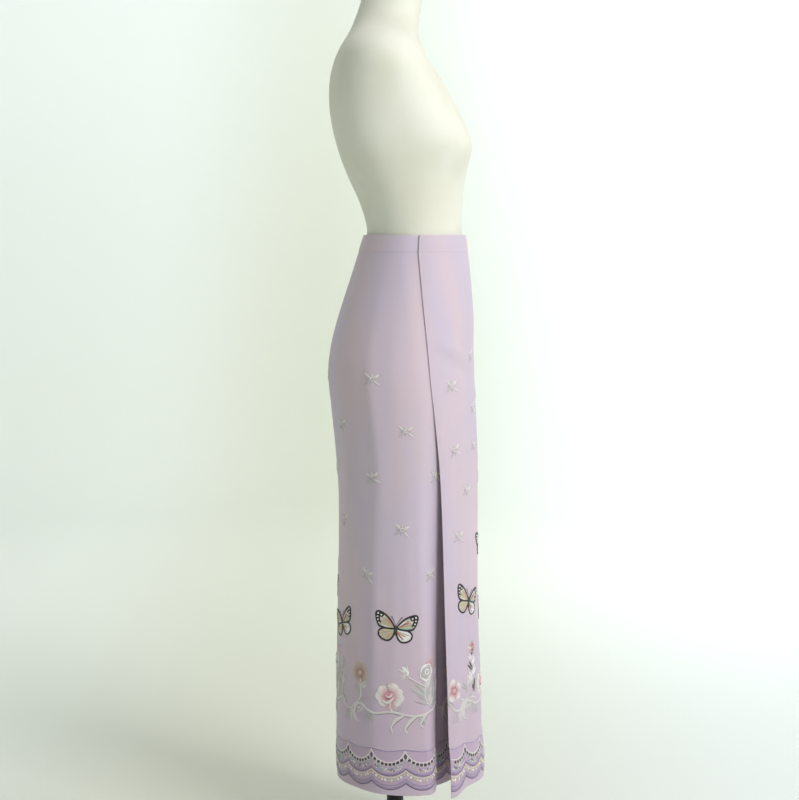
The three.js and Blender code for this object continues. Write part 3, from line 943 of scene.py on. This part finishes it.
# A rose of unit size: its outer petals, its deeper heart and the pale folds over the heart
ROSE_PETALS = columns(
    ("angle", "reach", "width", "lift", "colour"),
    (-66, 0.50, 0.26, 0.6, "petal_blush"),
    (-96, 0.52, 0.26, 0.7, "petal_blush"),
    (-42, 0.46, 0.22, 0.8, "petal_pale"),
    (-8, 0.48, 0.40, 0.9, "petal_pale"),
    (212, 0.44, 0.36, 1.0, "petal_pale"),
    (24, 0.47, 0.34, 1.1, "petal_pale"),
    (176, 0.50, 0.40, 1.2, "petal_pale"),
    (140, 0.48, 0.40, 1.3, "petal_pale"),
    (66, 0.48, 0.46, 1.5, "petal_pale"),
)
ROSE_HEART = columns(
    ("angle", "reach", "width", "lift"),
    (160, 0.34, 0.24, 1.9),
    (108, 0.26, 0.24, 2.0),
    (52, 0.30, 0.22, 2.1),
    (4, 0.34, 0.24, 2.2),
    (-50, 0.28, 0.18, 2.0),
)
ROSE_FOLDS = (
    [(-0.27, -0.13), (-0.16, -0.21), (-0.02, -0.17), (0.1, -0.07), (0.2, 0.0)],
    [(-0.13, 0.06), (-0.03, 0.0), (0.07, 0.05), (0.1, 0.14)],
)
RUFFLE_ANGLES = (-44, -16, 14, 42)


def petal_edge(reach, width):
    """The outer edge of a petal that points along x."""
    turn = np.radians(np.linspace(-84, 84, 13))
    ripple = 1 + 0.05 * np.sin(5 * turn)
    return np.stack([reach * (0.62 + 0.4 * np.cos(turn) * ripple), 0.5 * width * np.sin(turn) * ripple], 1)


def stitch_ruffle(stitches, centre, angle, reach, width, lift):
    """The white edge of a petal, with a few short strokes that run in from it."""
    edge = centre + rotated(petal_edge(reach, width), angle)
    stitches.line("white", edge, 1.4, lift + 0.25)
    for turn in RUFFLE_ANGLES:
        side = 0.5 * width * math.sin(math.radians(turn))
        root = centre + rotated((reach * (0.5 + 0.1 * math.cos(3.0 * turn)), 0.8 * side), angle)
        stitches.blade("cream", root, angle + 0.6 * turn, 0.42 * reach, 1.5, rise=lift + 0.3, steps=5)


def stitch_rose(stitches, centre, size, turn):
    """A full rose: ruffled pale petals with white edges, a deep heart, and pale folds over it."""
    centre = np.asarray(centre, float)
    for angle, reach, width, lift, colour in zip(*ROSE_PETALS.values()):
        root = centre + rotated((0.05 * size, 0), angle + turn)
        stitches.blade(colour, root, angle + turn, reach * size, width * size, 10, lift, True, 9)
        if colour == "petal_pale":
            stitch_ruffle(stitches, centre, angle + turn, reach * size, width * size, lift)
    for angle, reach, width, lift in zip(*ROSE_HEART.values()):
        root = centre + rotated((0.1 * size, 0), angle + turn + 180)
        stitches.blade("petal_deep", root, angle + turn, reach * size, width * size, 24, lift, True, 8)
    for fold in ROSE_FOLDS:
        path = smooth_path(centre + rotated(np.array(fold) * size, turn), 1.5)
        swell = np.sin(np.pi * np.linspace(0.08, 0.92, len(path)))
        stitches.line("cream", path, 0.6 + 0.12 * size * swell, 2.7)


BLOSSOM_PETALS = 5


def stitch_blossom(stitches, centre, size, turn, colour="petal_pale"):
    """An open blossom with separate petals and a dotted heart."""
    centre = np.asarray(centre, float)
    for number in range(BLOSSOM_PETALS):
        angle = turn + TURN * number / BLOSSOM_PETALS
        root = centre + rotated((0.05 * size, 0), angle)
        stitches.blade(colour, root, angle, 0.46 * size, 0.4 * size, 10, 1.0, True, 7)
        edge = centre + rotated(petal_edge(0.46 * size, 0.4 * size), angle)
        stitches.line("cream" if colour == "petal_pale" else "beige", edge, 1.5, 1.2)
    stitches.dot("beige", centre, 0.24 * size, rise=1.7)
    for number in range(BLOSSOM_PETALS):
        place = centre + rotated((0.15 * size, 0), turn + 36 + TURN * number / BLOSSOM_PETALS)
        stitches.dot("rose", place, 1.8, rise=1.6, sides=6)


# Blush petals behind a half-open rose of unit size, and the pale strokes within it
HALF_ROSE_PETALS = ((34, 0.66, 0.36), (58, 0.86, 0.4), (80, 0.7, 0.34))
HALF_ROSE_STROKES = (200, 262, 318)


def stitch_half_rose(stitches, centre, size):
    """A half-open rose: an oval rim of pale satin round a shaded heart, with blush petals behind it."""
    centre = np.asarray(centre, float)
    for angle, reach, width in HALF_ROSE_PETALS:
        root = centre + rotated((0.1 * size, 0), angle)
        stitches.blade("petal_blush", root, angle, reach * size, width * size, 12, 0.9, True, 8)
    turn = np.radians(np.linspace(-120, 240, 25))
    rim = np.stack([0.32 * size * np.cos(turn), 0.42 * size * np.sin(turn)], 1)
    rim = centre + rotated(rim * (1 + 0.06 * np.sin(5 * turn))[:, None], -26)
    stitches.patch("grey", rim[:-1], 1.3)
    stitches.line("white", rim, 0.14 * size * (0.75 + 0.25 * np.sin(3 * turn)), 1.9)
    for angle in HALF_ROSE_STROKES:
        root = centre + rotated((0.16 * size, 0), angle)
        stitches.blade("pink", root, angle + 50, 0.3 * size, 0.1 * size, 40, 1.8)
    middle = centre + (0.02 * size, 0.03 * size)
    stitches.ring("white", middle, 0.24 * size, 0.26 * size, 0.08 * size, 2.1)
    stitches.dot("pink", middle, 0.1 * size, 0.12 * size, 1.9)


def stitch_bud(stitches, centre, size, angle):
    """A closed bud: a pale drop with a lilac heart, and two small sepals behind it."""
    centre = np.asarray(centre, float)
    for side in (-26, 26):
        stitches.blade("stem", centre, angle + side, 0.9 * size, 0.2 * size, -side, 0.8)
    stitches.blade("white", centre + rotated((-0.2 * size, 0), angle), angle, size, 0.5 * size, 6, 1.1)
    stitches.dot("cord", centre + rotated((0.14 * size, 0), angle), 0.4 * size, 0.24 * size, 1.5, angle)


LEAF_BEND = 18


def stitch_leaf(stitches, root, angle, length, colour):
    """A leaf in two satin halves."""
    for side in (1, -1):
        start = np.asarray(root, float) + rotated((0, 0.06 * side * length), angle)
        stitches.blade(colour, start, angle + 6 * side, length, 0.24 * length, LEAF_BEND - 12 * side, 1.0)


def stitch_curl(stitches, root, points):
    """A leaf-like curl that swells and then narrows to a hook, with a line of painted shadow along its lower
    side.
    """
    path = smooth_path([np.asarray(root, float) + point for point in points], 2.5)
    share = np.linspace(0, 1, len(path))
    width = 2.0 + 4.6 * np.sin(np.pi * share**0.8)
    stitches.line("shade", path + np.stack([0.3 * width, -0.34 * width], 1), 0.5 * width, 0.3)
    stitches.line("stem", path, width, 1.2)


def stitch_stem(stitches, points, width):
    """A stem with a line of painted shadow along its lower side."""
    path = smooth_path(points)
    stitches.line("shade", path - (0.0, 0.5 * width), 0.45 * width, 0.25)
    stitches.line("stem", path, width, 1.3)


# One repeat of the garland: sizes and places are measured from the rose, heights from the hem
REPEAT = 222
LAST_ROSE = RIGHT_SIDE - 35
GARLAND_REPEATS = (-1, 0, 1, 2, 3)
VINE_WIDTH, SIDE_STEM_WIDTH = 4.4, 3.0
LEAF_GROWTH = 1.15
LEAF_COLOURS = ("sage", "grey", "stem", "grey", "sage", "stem", "grey")
VINE = [
    (-111, 150), (-104, 141), (-90, 139), (-76, 149), (-58, 151), (-46, 144), (-28, 140), (-8, 143),
    (6, 144), (24, 140), (42, 137), (60, 139), (82, 146), (96, 152), (111, 150),
]
SIDE_STEMS = [
    [(-80, 147), (-68, 156), (-62, 168), (-64, 186), (-62, 196)],
    [(-111, 150), (-122, 160), (-121, 178), (-112, 186)],
    [(86, 147), (72, 155), (64, 170), (64, 186), (66, 200)],
    [(6, 144), (0, 152), (2, 160)],
    [(66, 188), (48, 198), (34, 206)],
    [(100, 150), (104, 172), (97, 196), (101, 214)],
]
LEAVES = columns(
    ("along", "above", "angle", "length"),
    (66, 172, 146, 27),
    (72, 158, 158, 24),
    (74, 156, 74, 27),
    (80, 152, 62, 30),
    (68, 172, 62, 26),
    (66, 186, 76, 22),
    (86, 148, 88, 30),
    (92, 148, 72, 24),
    (-48, 145, 196, 24),
    (-52, 148, 212, 18),
    (-66, 158, 24, 15),
    (-64, 172, 150, 16),
    (-63, 182, 30, 17),
    (-38, 142, 238, 16),
    (-30, 141, 258, 15),
    (-98, 140, 262, 20),
    (-88, 140, 290, 22),
    (-104, 146, 148, 16),
    (56, 139, 286, 17),
    (100, 178, 58, 17),
    (99, 190, 128, 16),
    (101, 206, 66, 18),
    (14, 146, 60, 13),
    (30, 208, 200, 12),
)
CURLS = [
    ((26, 139), [(0, 0), (-16, -10), (-24, -22), (-21, -32)]),
    ((50, 138), [(0, 0), (-14, -10), (-23, -24), (-18, -32)]),
    ((68, 141), [(0, 0), (-9, -9), (-13, -19), (-8, -25)]),
    ((-70, 152), [(0, 0), (-9, -14), (-7, -28), (2, -33)]),
]


def stitch_garland(stitches, rose):
    """One repeat of the garland, with its rose at a place along the cloth. The first has no blossom."""
    at = np.array([rose, 0.0])
    stitch_stem(stitches, np.array(VINE) + at, VINE_WIDTH)
    for stem in SIDE_STEMS:
        stitch_stem(stitches, np.array(stem) + at, SIDE_STEM_WIDTH)
    for number, (along, above, angle, length) in enumerate(zip(*LEAVES.values())):
        colour = LEAF_COLOURS[number % len(LEAF_COLOURS)]
        stitch_leaf(stitches, at + (along, above), angle, LEAF_GROWTH * length, colour)
    for root, points in CURLS:
        stitch_curl(stitches, at + root, points)
    stitch_rose(stitches, at + (0, 171), 48, 4)
    stitch_half_rose(stitches, at + (67, 214), 34)
    if rose > REPEAT:
        stitch_blossom(stitches, at + (-64, 206), 42, 50, "petal_warm")
    stitch_bud(stitches, at + (31, 212), 20, 122)


SPRAY_LEAVES = 7
SPRAY_STEM = [(72, 150), (74, 176), (71, 206), (74, 236)]
LOW_STEM = [(30, 158), (46, 154), (66, 156), (90, 150)]
LOW_LEAVES = ((232, 22), (256, 26), (284, 24), (304, 18))


def stitch_flap_flowers(stitches):
    """The flower at the flap's free edge, and the taller spray with white leaves beside it."""
    stitch_blossom(stitches, (15, 176), 40, 30)
    stitches.line("stem", smooth_path(SPRAY_STEM), 2.6, 0.9)
    for number in range(SPRAY_LEAVES):
        root = (72 + 1.5 * math.sin(number), 186 + 9 * number)
        colour = "dark_green" if number % 3 == 2 else "white"
        stitch_leaf(stitches, root, 90 + 46 * (-1) ** number, 20 - number, colour)
    stitch_blossom(stitches, (75, 244), 22, 10, "petal_deep")
    stitch_leaf(stitches, (76, 164), 84, 24, "dark_green")
    stitches.line("stem", smooth_path(LOW_STEM), 3.2, 1.1)
    for angle, length in LOW_LEAVES:
        stitch_leaf(stitches, (46, 152), angle, length, "stem")


# Butterflies: (x, y) of one wing pair, with the body on x = 0; the other pair is its mirror image
UPPER_WING = [
    (1.2, 0.5), (7, 9), (15, 17.5), (25, 23.5), (35, 26), (38.5, 22), (37, 14), (34, 7), (31, 1), (20, -1),
    (10, -0.5),
]
LOWER_WING = [
    (1.2, -0.5), (12, -1.5), (22, -2), (29, -6), (30.5, -13), (26, -19.5), (17, -23), (9, -21), (3, -12),
]
WING_EDGE = [(24, 20), (32.5, 20), (34.5, 17), (33.5, 11), (30.5, 5)]
WING_DOTS = columns(
    ("x", "y", "across"),
    (34.6, 22.2, 4.2),
    (35.0, 16.6, 4.0),
    (33.8, 11.2, 3.8),
    (31.4, 6.2, 3.4),
    (28.6, 20.2, 4.4),
    (23.6, 17.4, 3.8),
    (28.4, 13.4, 3.2),
    (27.6, -14.6, 2.4),
    (28.6, -9.6, 2.4),
)
WING_STROKES = columns(
    ("path", "width", "left", "right"),
    ([(3, 2), (10, 9), (17, 14.5)], 4.6, "orange", "cream"),
    ([(4, 1.6), (12, 6.5), (23, 12.5)], 4.0, "beige", "rose"),
    ([(5, 1), (14, 3.6), (26, 8)], 4.2, "yellow", "yellow"),
    ([(7, 0.2), (17, 0.8), (27, 3)], 3.2, "cream", "teal"),
    ([(3, -3), (11, -5), (22, -5)], 4.0, "yellow", "white"),
    ([(3, -4), (9, -9), (19, -12)], 4.4, "beige", "orange"),
    ([(3, -6), (8, -12), (15, -18)], 3.6, "orange", "rose"),
)
VEINS = [
    [(3, 1.6), (12, 7.6), (22, 15)],
    [(4, 1), (15, 4.6), (27, 9.6)],
    [(3, -3.4), (12, -7), (25, -10)],
    [(3, -5), (8, -11), (16, -19)],
]


def stitch_butterfly(stitches, along, above, size, tilt):
    """A butterfly with black edges, white dots, striped pale wings and a few bright cells."""
    centre = np.array([along, above])

    def put(points, side):
        """Points of the right wing pair on the cloth, mirrored for the left pair."""
        mirrored = np.asarray(points, float) * (side * size, size)
        return centre + rotated(mirrored, tilt)

    for side in (-1, 1):
        lower_fill, vein_colour = ("white", "dark_green") if side > 0 else ("beige", "green")
        for wing, fill in ((UPPER_WING, "beige"), (LOWER_WING, lower_fill)):
            outline = put(wing, side)
            stitches.patch(fill, outline[::-1] if side > 0 else outline, 0.5)
            closed = smooth_path(np.concatenate([outline, outline[:1]]), 3.0 * size)
            stitches.line("black", closed, 3.4 * size, 1.1)
        for path, width, left, right in zip(*WING_STROKES.values()):
            stroke = smooth_path(put(path, side), 3.0)
            swell = 0.5 + 0.5 * np.sin(np.pi * np.linspace(0.1, 0.9, len(stroke)))
            stitches.line(right if side > 0 else left, stroke, width * size * swell, 0.85)
        stitches.line("black", smooth_path(put(WING_EDGE, side), 3.0), 9.0 * size, 1.05)
        for vein in VEINS:
            stitches.line(vein_colour, smooth_path(put(vein, side)), 0.8 * size, 1.0)
        for x, y, across in zip(*WING_DOTS.values()):
            stitches.dot("white", put([(x, y)], side)[0], across * size, 0.8 * across * size, 1.7, tilt, 7)
        feeler = smooth_path(put([(1, 5), (4.5, 13), (10, 21)], side))
        stitches.line("deep_purple", feeler, np.linspace(0.7, 2.4, len(feeler)) * size, 0.6)
    stitches.line("dark_green", put([(0, 6), (0, 0), (0, -12)], 1), np.array([1.6, 3.4, 1.0]) * size, 1.5)


BUTTERFLIES = columns(
    ("along", "above", "size", "tilt"),
    (67, 328, 0.98, -14),
    (150, 424, 0.9, 12),
    (200, 298, 1.0, 8),
    (276, 350, 0.94, -12),
    (330, 286, 0.98, 14),
    (428, 330, 0.96, -8),
    (506, 292, 1.0, 10),
    (586, 346, 0.94, -12),
    (662, 286, 0.96, 14),
    (797.5, 292, 1.0, -6),
)
BUTTERFLY_REACH = 42

# Sprigs beside the flap's free edge, and then in staggered columns round the rest of the wrap
EDGE_SPRIGS = columns(
    ("along", "above"),
    (41, 446),
    (38, 598),
    (44, 710),
    (71, 524),
    (114, 668),
    (108, 600),
    (116, 760),
    (148, 540),
    (152, 690),
)
SPRIG_COLUMNS = columns(
    ("along", "lowest"),
    (192, 464),
    (232, 388),
    (290, 470),
    (350, 384),
    (410, 470),
    (470, 382),
    (530, 470),
    (596, 382),
    (668, 470),
    (741, 382),
    (809, 464),
    (867, 384),
)
SPRIG_RISE = 171
SPRIG_LEAN = 0.08
SPRIG_TOP = 780
SPRIG_REACH = 22
SPRIG_SWING = 12
SPRIG_STROKES = columns(
    ("angle", "length", "width", "colour"),
    (36, 12, 4.8, "cream"),
    (142, 13, 5.0, "stem"),
    (-32, 15, 4.6, "stem"),
    (-148, 14, 4.8, "grey"),
    (6, 7, 3.4, "pink"),
    (178, 7, 3.4, "grey"),
    (-88, 6, 3.2, "grey"),
    (88, 6, 3.2, "stem"),
)


def stitch_sprig(stitches, along, above, turn):
    """A small ring with short curved leaf strokes round it."""
    centre = np.array([along, above])
    stitches.ring("stem", centre, 6.6, 5.6, 2.4, 1.1, 10)
    stitches.dot("white", centre + (-1.6, 2.4), 3.2, 2.4, 1.8, 20, 7)
    for number, (angle, length, width, colour) in enumerate(zip(*SPRIG_STROKES.values())):
        root = centre + rotated((3.6, 0), angle + turn)
        bend = 34 * (-1) ** number
        stitches.blade(colour, root, angle + turn, length, width, bend, 1.0, steps=6)


# How far from a panel's free ends its embroidery and its border's stitches are cut off
EMBROIDERY_MARGIN = 0.8
BORDER_MARGIN = 0.4
BORDER_LINES_FROM, BORDER_LINES_TO = 0.6, WRAP_END - 1


def stitch_all():
    """All the stitching of the flap and of the back panel; what crosses the side seam is laid on both."""
    flap, back = Stitching(), Stitching()

    def near(along, reach):
        """The panels that a shape of some reach lies over."""
        over_flap = [flap] if along - reach < LEFT_SEAM else []
        over_back = [back] if along + reach > LEFT_SEAM else []
        return over_flap + over_back

    for repeat in GARLAND_REPEATS:
        rose = LAST_ROSE - repeat * REPEAT
        for cloth in near(rose, REPEAT / 2):
            stitch_garland(cloth, rose)
    stitch_flap_flowers(flap)
    for along, above, size, tilt in zip(*BUTTERFLIES.values()):
        for cloth in near(along, BUTTERFLY_REACH):
            stitch_butterfly(cloth, along, above, size, tilt)
    sprigs = list(zip(*EDGE_SPRIGS.values()))
    for along, lowest in zip(*SPRIG_COLUMNS.values()):
        heights = np.arange(lowest, SPRIG_TOP, SPRIG_RISE)
        sprigs += [(along + SPRIG_LEAN * (above - lowest), above) for above in heights]
    for along, above in sprigs:
        for cloth in near(along, SPRIG_REACH):
            stitch_sprig(cloth, along, above, SPRIG_SWING * math.sin(along + above))
    flap_border, back_border = Stitching(), Stitching()
    stitch_border(flap_border, BORDER_LINES_FROM, LEFT_SEAM)
    stitch_border(back_border, LEFT_SEAM, BORDER_LINES_TO)
    flap.lay("flap_embroidery", EMBROIDERY_MARGIN, LEFT_SEAM)
    back.lay("back_embroidery", LEFT_SEAM, WRAP_END - EMBROIDERY_MARGIN)
    flap_border.lay("flap_border_stitches", BORDER_MARGIN, LEFT_SEAM)
    back_border.lay("back_border_stitches", LEFT_SEAM, WRAP_END - BORDER_MARGIN)


# Cloth pieces

PANEL_COLUMN_STEP, PANEL_ROW_STEP = 4.0, 8.0


def cloth_panel(name, start, end):
    """A panel of the wrap, from the border's cord line up to the waistband."""
    across = evenly(start, end, PANEL_COLUMN_STEP)
    up = evenly(BAND_DEPTH, PANEL_TOP, PANEL_ROW_STEP)
    along, above = np.meshgrid(across, up, indexing="ij")
    return cloth_shell(name, along, above, [CREPE])


WAISTBAND = {"thickness": 2.0, "lift": 0.6, "puff": 0.3, "tuck": 3.6, "tuck_from": 343, "tuck_over": 27}
WAISTBAND_STEP = 2.5
WAISTBAND_MM_PER_DEGREE = 2.2
# Rows of the waistband from its lower edge: share of its depth, and how far it puffs out
WAISTBAND_ROWS = ((0.0, -0.5), (0.03, 0.0), (0.1, 0.15), (0.5, 0.3), (0.9, 0.15), (0.97, 0.0), (1.0, -0.5))


def waistband():
    """One folded strip round the whole wrap, softly rounded at its edges."""
    start = curve(FLAP, "edge", np.array(float(WAIST_Z - WAISTBAND_DEPTH)))
    angle = evenly(float(start), WRAP_END_ANGLE, WAISTBAND_STEP)[:, None]
    share, puff = (np.array(part)[None] for part in zip(*WAISTBAND_ROWS))
    z = WAIST_Z - WAISTBAND_DEPTH + WAISTBAND_DEPTH * share + 0 * angle
    angle = angle + 0 * z
    tucked = WAISTBAND["tuck"] * smoothstep((angle - WAISTBAND["tuck_from"]) / WAISTBAND["tuck_over"])
    lift = WAISTBAND["lift"] - tucked
    outer = skirt_point(angle, z, lift + puff)
    inner = skirt_point(angle, z, lift - WAISTBAND["thickness"] + WAISTBAND["puff"])
    uv = np.stack([angle * WAISTBAND_MM_PER_DEGREE, z - HEM_Z], -1)
    return shell("sarong_waistband", outer, inner, uv, [CREPE])


# Form and stand

def form_point(angle, z, inset):
    """Points of the dress form: the sarong's sections less a clearance, and its own above the waist."""
    lower = skirt_point(angle, np.minimum(z, WAIST_Z), -FORM_CLEARANCE - inset)
    front, back, half_width, squareness = (
        curve(FORM, name, z) for name in ("front", "back", "half_width", "squareness")
    )
    depth = (front + back) / 2
    cos, sin = np.cos(np.radians(angle)), np.sin(np.radians(angle))
    from_front = (np.abs(angle - FRONT_ANGLE) - BUST["from_front"]) / BUST["spread_round"]
    reach = BUST["fullness"] * bump(from_front) * bump((z - BUST["z"]) / BUST["spread_up"]) - inset
    x = -(half_width + reach) * np.sign(cos) * np.abs(cos) ** (2 / squareness)
    y = (back - front) / 2 - (depth + reach) * np.sign(sin) * np.abs(sin) ** (2 / squareness)
    upper = np.stack([x, y, z + 0 * x], -1)
    return np.where((z <= WAIST_Z)[..., None], lower, upper)


def ring_body(name, rings, material, smooth_below=40):
    """A closed body through rings of points, with a flat cap at each end."""
    index, faces = ring_faces(*rings.shape[:2])
    faces = faces.tolist() + [index[0][::-1].tolist(), index[-1].tolist()]
    return add_object(name, rings.reshape(-1, 3), faces, [material], smooth_below=smooth_below)


FORM_COLUMNS = 120
FORM_RING_STEP = 9.0
CORNER_STEPS = 5


def dress_form():
    """The limbless form, whole from under the hips to the neck."""
    angle = np.linspace(FRONT_ANGLE - TURN / 2, FRONT_ANGLE + TURN / 2, FORM_COLUMNS, endpoint=False)
    turn = np.radians(np.linspace(0, 90, CORNER_STEPS))
    edge = list(zip(EDGE_ROUNDING * (1 - np.cos(turn)), EDGE_ROUNDING * (1 - np.sin(turn))))
    low = [(FORM_BOTTOM + rise, inset) for rise, inset in edge]
    high = [(FORM_TOP - rise, inset) for rise, inset in reversed(edge)]
    heights = evenly(FORM_BOTTOM + 2 * EDGE_ROUNDING, FORM_TOP - 2 * EDGE_ROUNDING, FORM_RING_STEP)
    middle = [(z, 0.0) for z in heights]
    z, inset = (np.array(part)[:, None] + 0 * angle for part in zip(*low, *middle, *high))
    rings = form_point(angle[None] + 0 * z, z, inset)
    return ring_body("dress_form_cover", rings, IVORY)


def turned(name, profile, sides):
    """A body turned about the pole's axis, from its profile of (radius, z) from the bottom up."""
    angle = np.radians(np.linspace(TURN, 0, sides, endpoint=False))
    rings = np.array([[(r * -math.cos(t), r * math.sin(t), z) for t in angle] for r, z in profile])
    return ring_body(name, rings, ENAMEL, 30)


def rounded_corner(radius, z, size, from_angle):
    """Points of a rounded outer corner of a profile, about its centre."""
    turn = np.radians(np.linspace(from_angle, from_angle + 90, CORNER_STEPS))
    return [(radius + size * math.cos(t), z + size * math.sin(t)) for t in turn]


BASE_SIDES, POLE_SIDES = 128, 72


def stand():
    """The round base with its boss, and the pole with its flange."""
    base = turned(
        "stand_base_plate",
        [(BASE_RADIUS - BASE_EDGE_BREAK, 0), (BASE_RADIUS, BASE_EDGE_BREAK)]
        + rounded_corner(BASE_RADIUS - BEVEL, BASE_PLATE - BEVEL, BEVEL, 0)
        + [(BOSS_RADIUS + out, BASE_PLATE + rise) for out, rise in BOSS_FILLET]
        + rounded_corner(BOSS_RADIUS - BEVEL, BOSS_HEIGHT - BEVEL, BEVEL, 0),
        BASE_SIDES,
    )
    top = FORM_BOTTOM - STAND_GAP
    pole = turned(
        "stand_pole_tube",
        [
            (POLE_RADIUS, BOSS_HEIGHT + STAND_GAP),
            (POLE_RADIUS, top - FLANGE_DEPTH - POLE_RADIUS),
            (POLE_RADIUS + CONE_OUT, top - FLANGE_DEPTH - CONE_BEVELS * BEVEL),
            (POLE_RADIUS + BEVEL, top - FLANGE_DEPTH - BEVEL),
            (FLANGE_RADIUS - BEVEL, top - FLANGE_DEPTH),
        ]
        + rounded_corner(FLANGE_RADIUS - BEVEL, top - FLANGE_DEPTH + BEVEL, BEVEL, -90)
        + [(FLANGE_RADIUS, top)],
        POLE_SIDES,
    )
    return base, pole


flap = cloth_panel("sarong_flap", 0, LEFT_SEAM)
back_panel = cloth_panel("sarong_back", LEFT_SEAM, WRAP_END)
band_front = hem_band("hem_band_flap", 0, LEFT_SEAM)
band_back = hem_band("hem_band_back_panel", LEFT_SEAM, WRAP_END)
waist = waistband()
stitch_all()
form = dress_form()
base, pole = stand()

for piece, node, slot in (
    (flap, "sarong_front_flap", "lilac_cloth"),
    (back_panel, "sarong_back_panel", "lilac_cloth"),
    (band_front, "hem_band_front", "band_cloth"),
    (band_back, "hem_band_back", "band_cloth"),
    (waist, "waistband", "lilac_cloth"),
    (form, "form_torso", "form_cover"),
    (base, "stand_base", "black_metal"),
    (pole, "stand_pole", "black_metal"),
):
    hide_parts(node)


# Room, light and camera

# The bowl's profile in metres
FLOOR_RINGS = (0.01, 1.5, 3.0)
FLOOR_RADIUS, CURVE_RADIUS, WALL_RADIUS = 4.4, 1.8, 6.2
WALL_RINGS = (3.0, 7.0)
CURVE_STEPS, BOWL_SIDES = 16, 96


def room():
    """A seamless pale bowl: a floor whose rim curves up into a wall all round, its paint darker and warmer
    with painted shade towards +y and low down.
    """
    profile = [(radius, 0.0) for radius in FLOOR_RINGS]
    for t in np.radians(np.linspace(0, 90, CURVE_STEPS)):
        across, up = CURVE_RADIUS * math.sin(t), CURVE_RADIUS * math.cos(t)
        profile.append((FLOOR_RADIUS + across, CURVE_RADIUS - up))
    profile += [(WALL_RADIUS, z) for z in WALL_RINGS]
    angle = np.radians(np.linspace(0, TURN, BOWL_SIDES, endpoint=False))
    rings = np.array([[(r * math.cos(t), r * math.sin(t), z) for t in angle] for r, z in profile])
    _, faces = ring_faces(*rings.shape[:2])
    mesh = bpy.data.meshes.new("studio_bowl")
    mesh.from_pydata(rings.reshape(-1, 3).tolist(), [], faces[:, ::-1].tolist())
    paint = Surface("studio_paint_with_painted_shade", linear(240, 246, 244), 0.9, specular=0.1)
    place = paint.split(paint.object_place())
    # Painted shade on the backdrop: darker and warmer from -y towards +y, easing off further along +y and
    # higher up
    towards_back = paint.remap(place[1], -1.1, 0.35)
    far_back = paint.remap(place[1], 0.3, 1.2, 0.0, 0.55)
    high_up = paint.remap(place[2], 0.2, 2.8, 0.0, 0.4)
    shade = paint.math("SUBTRACT", paint.math("SUBTRACT", towards_back, far_back), high_up)
    paint.colour_from(paint.mix(shade, linear(243, 248, 246), linear(216, 218, 203)))
    mesh.materials.append(paint.material)
    mesh.shade_smooth()
    link("studio_bowl", mesh)


def aim(thing, place, target):
    """Put a lamp or camera at a place and turn it towards a target."""
    thing.location = place
    thing.rotation_euler = (Vector(target) - Vector(place)).to_track_quat("-Z", "Y").to_euler()


LIGHTS = (
    # name, place, target, size across, watts, colour
    ("key_side", (-2.6, -2.1, 3.0), (0.0, 0.0, 1.25), 1.4, 92, (1.0, 0.99, 1.0)),
    ("key_front", (0.2, -3.3, 3.0), (0.0, 0.0, 1.25), 2.2, 27, (1.0, 0.99, 1.0)),
    ("wall_wash", (2.6, -2.2, 3.2), (6.2, 0.8, 1.4), 2.4, 104, (0.98, 1.0, 1.0)),
    ("overhead", (1.8, 0.2, 5.4), (2.2, 0.2, 0.0), 3.4, 50, (1.0, 1.0, 1.0)),
)
AMBIENT_COLOUR = linear(240, 244, 244)
AMBIENT_STRENGTH = 0.25


def lights():
    """The lamps, which the camera doesn't see, and a faint even light from all round."""
    for name, place, target, size, watts, colour in LIGHTS:
        lamp = bpy.data.lights.new(name, "AREA")
        lamp.shape = "SQUARE"
        lamp.size = size
        lamp.energy = watts
        lamp.color = colour
        holder = link(name, lamp)
        holder.visible_camera = False
        aim(holder, place, target)
    world = bpy.data.worlds.new("soft_room_light")
    world.use_nodes = True
    background = world.node_tree.nodes["Background"]
    background.inputs["Color"].default_value = AMBIENT_COLOUR
    background.inputs["Strength"].default_value = AMBIENT_STRENGTH
    bpy.context.scene.world = world
    bpy.context.scene.view_settings.view_transform = "Standard"


# The camera in metres, and its focal length in pixels of the picture
CAMERA_PLACE = (-3.6, -0.008, 1.105)
CAMERA_TARGET = (0.0, -0.008, 0.806)
FOCAL_PIXELS = 2022
PICTURE_HEIGHT = 800
SENSOR = 36.0


def camera():
    """The photograph's view."""
    lens = bpy.data.cameras.new("photo_view")
    lens.sensor_width = SENSOR
    lens.lens = SENSOR * FOCAL_PIXELS / PICTURE_HEIGHT
    holder = link("photo_view", lens)
    aim(holder, CAMERA_PLACE, CAMERA_TARGET)
    bpy.context.scene.camera = holder


room()
lights()
camera()
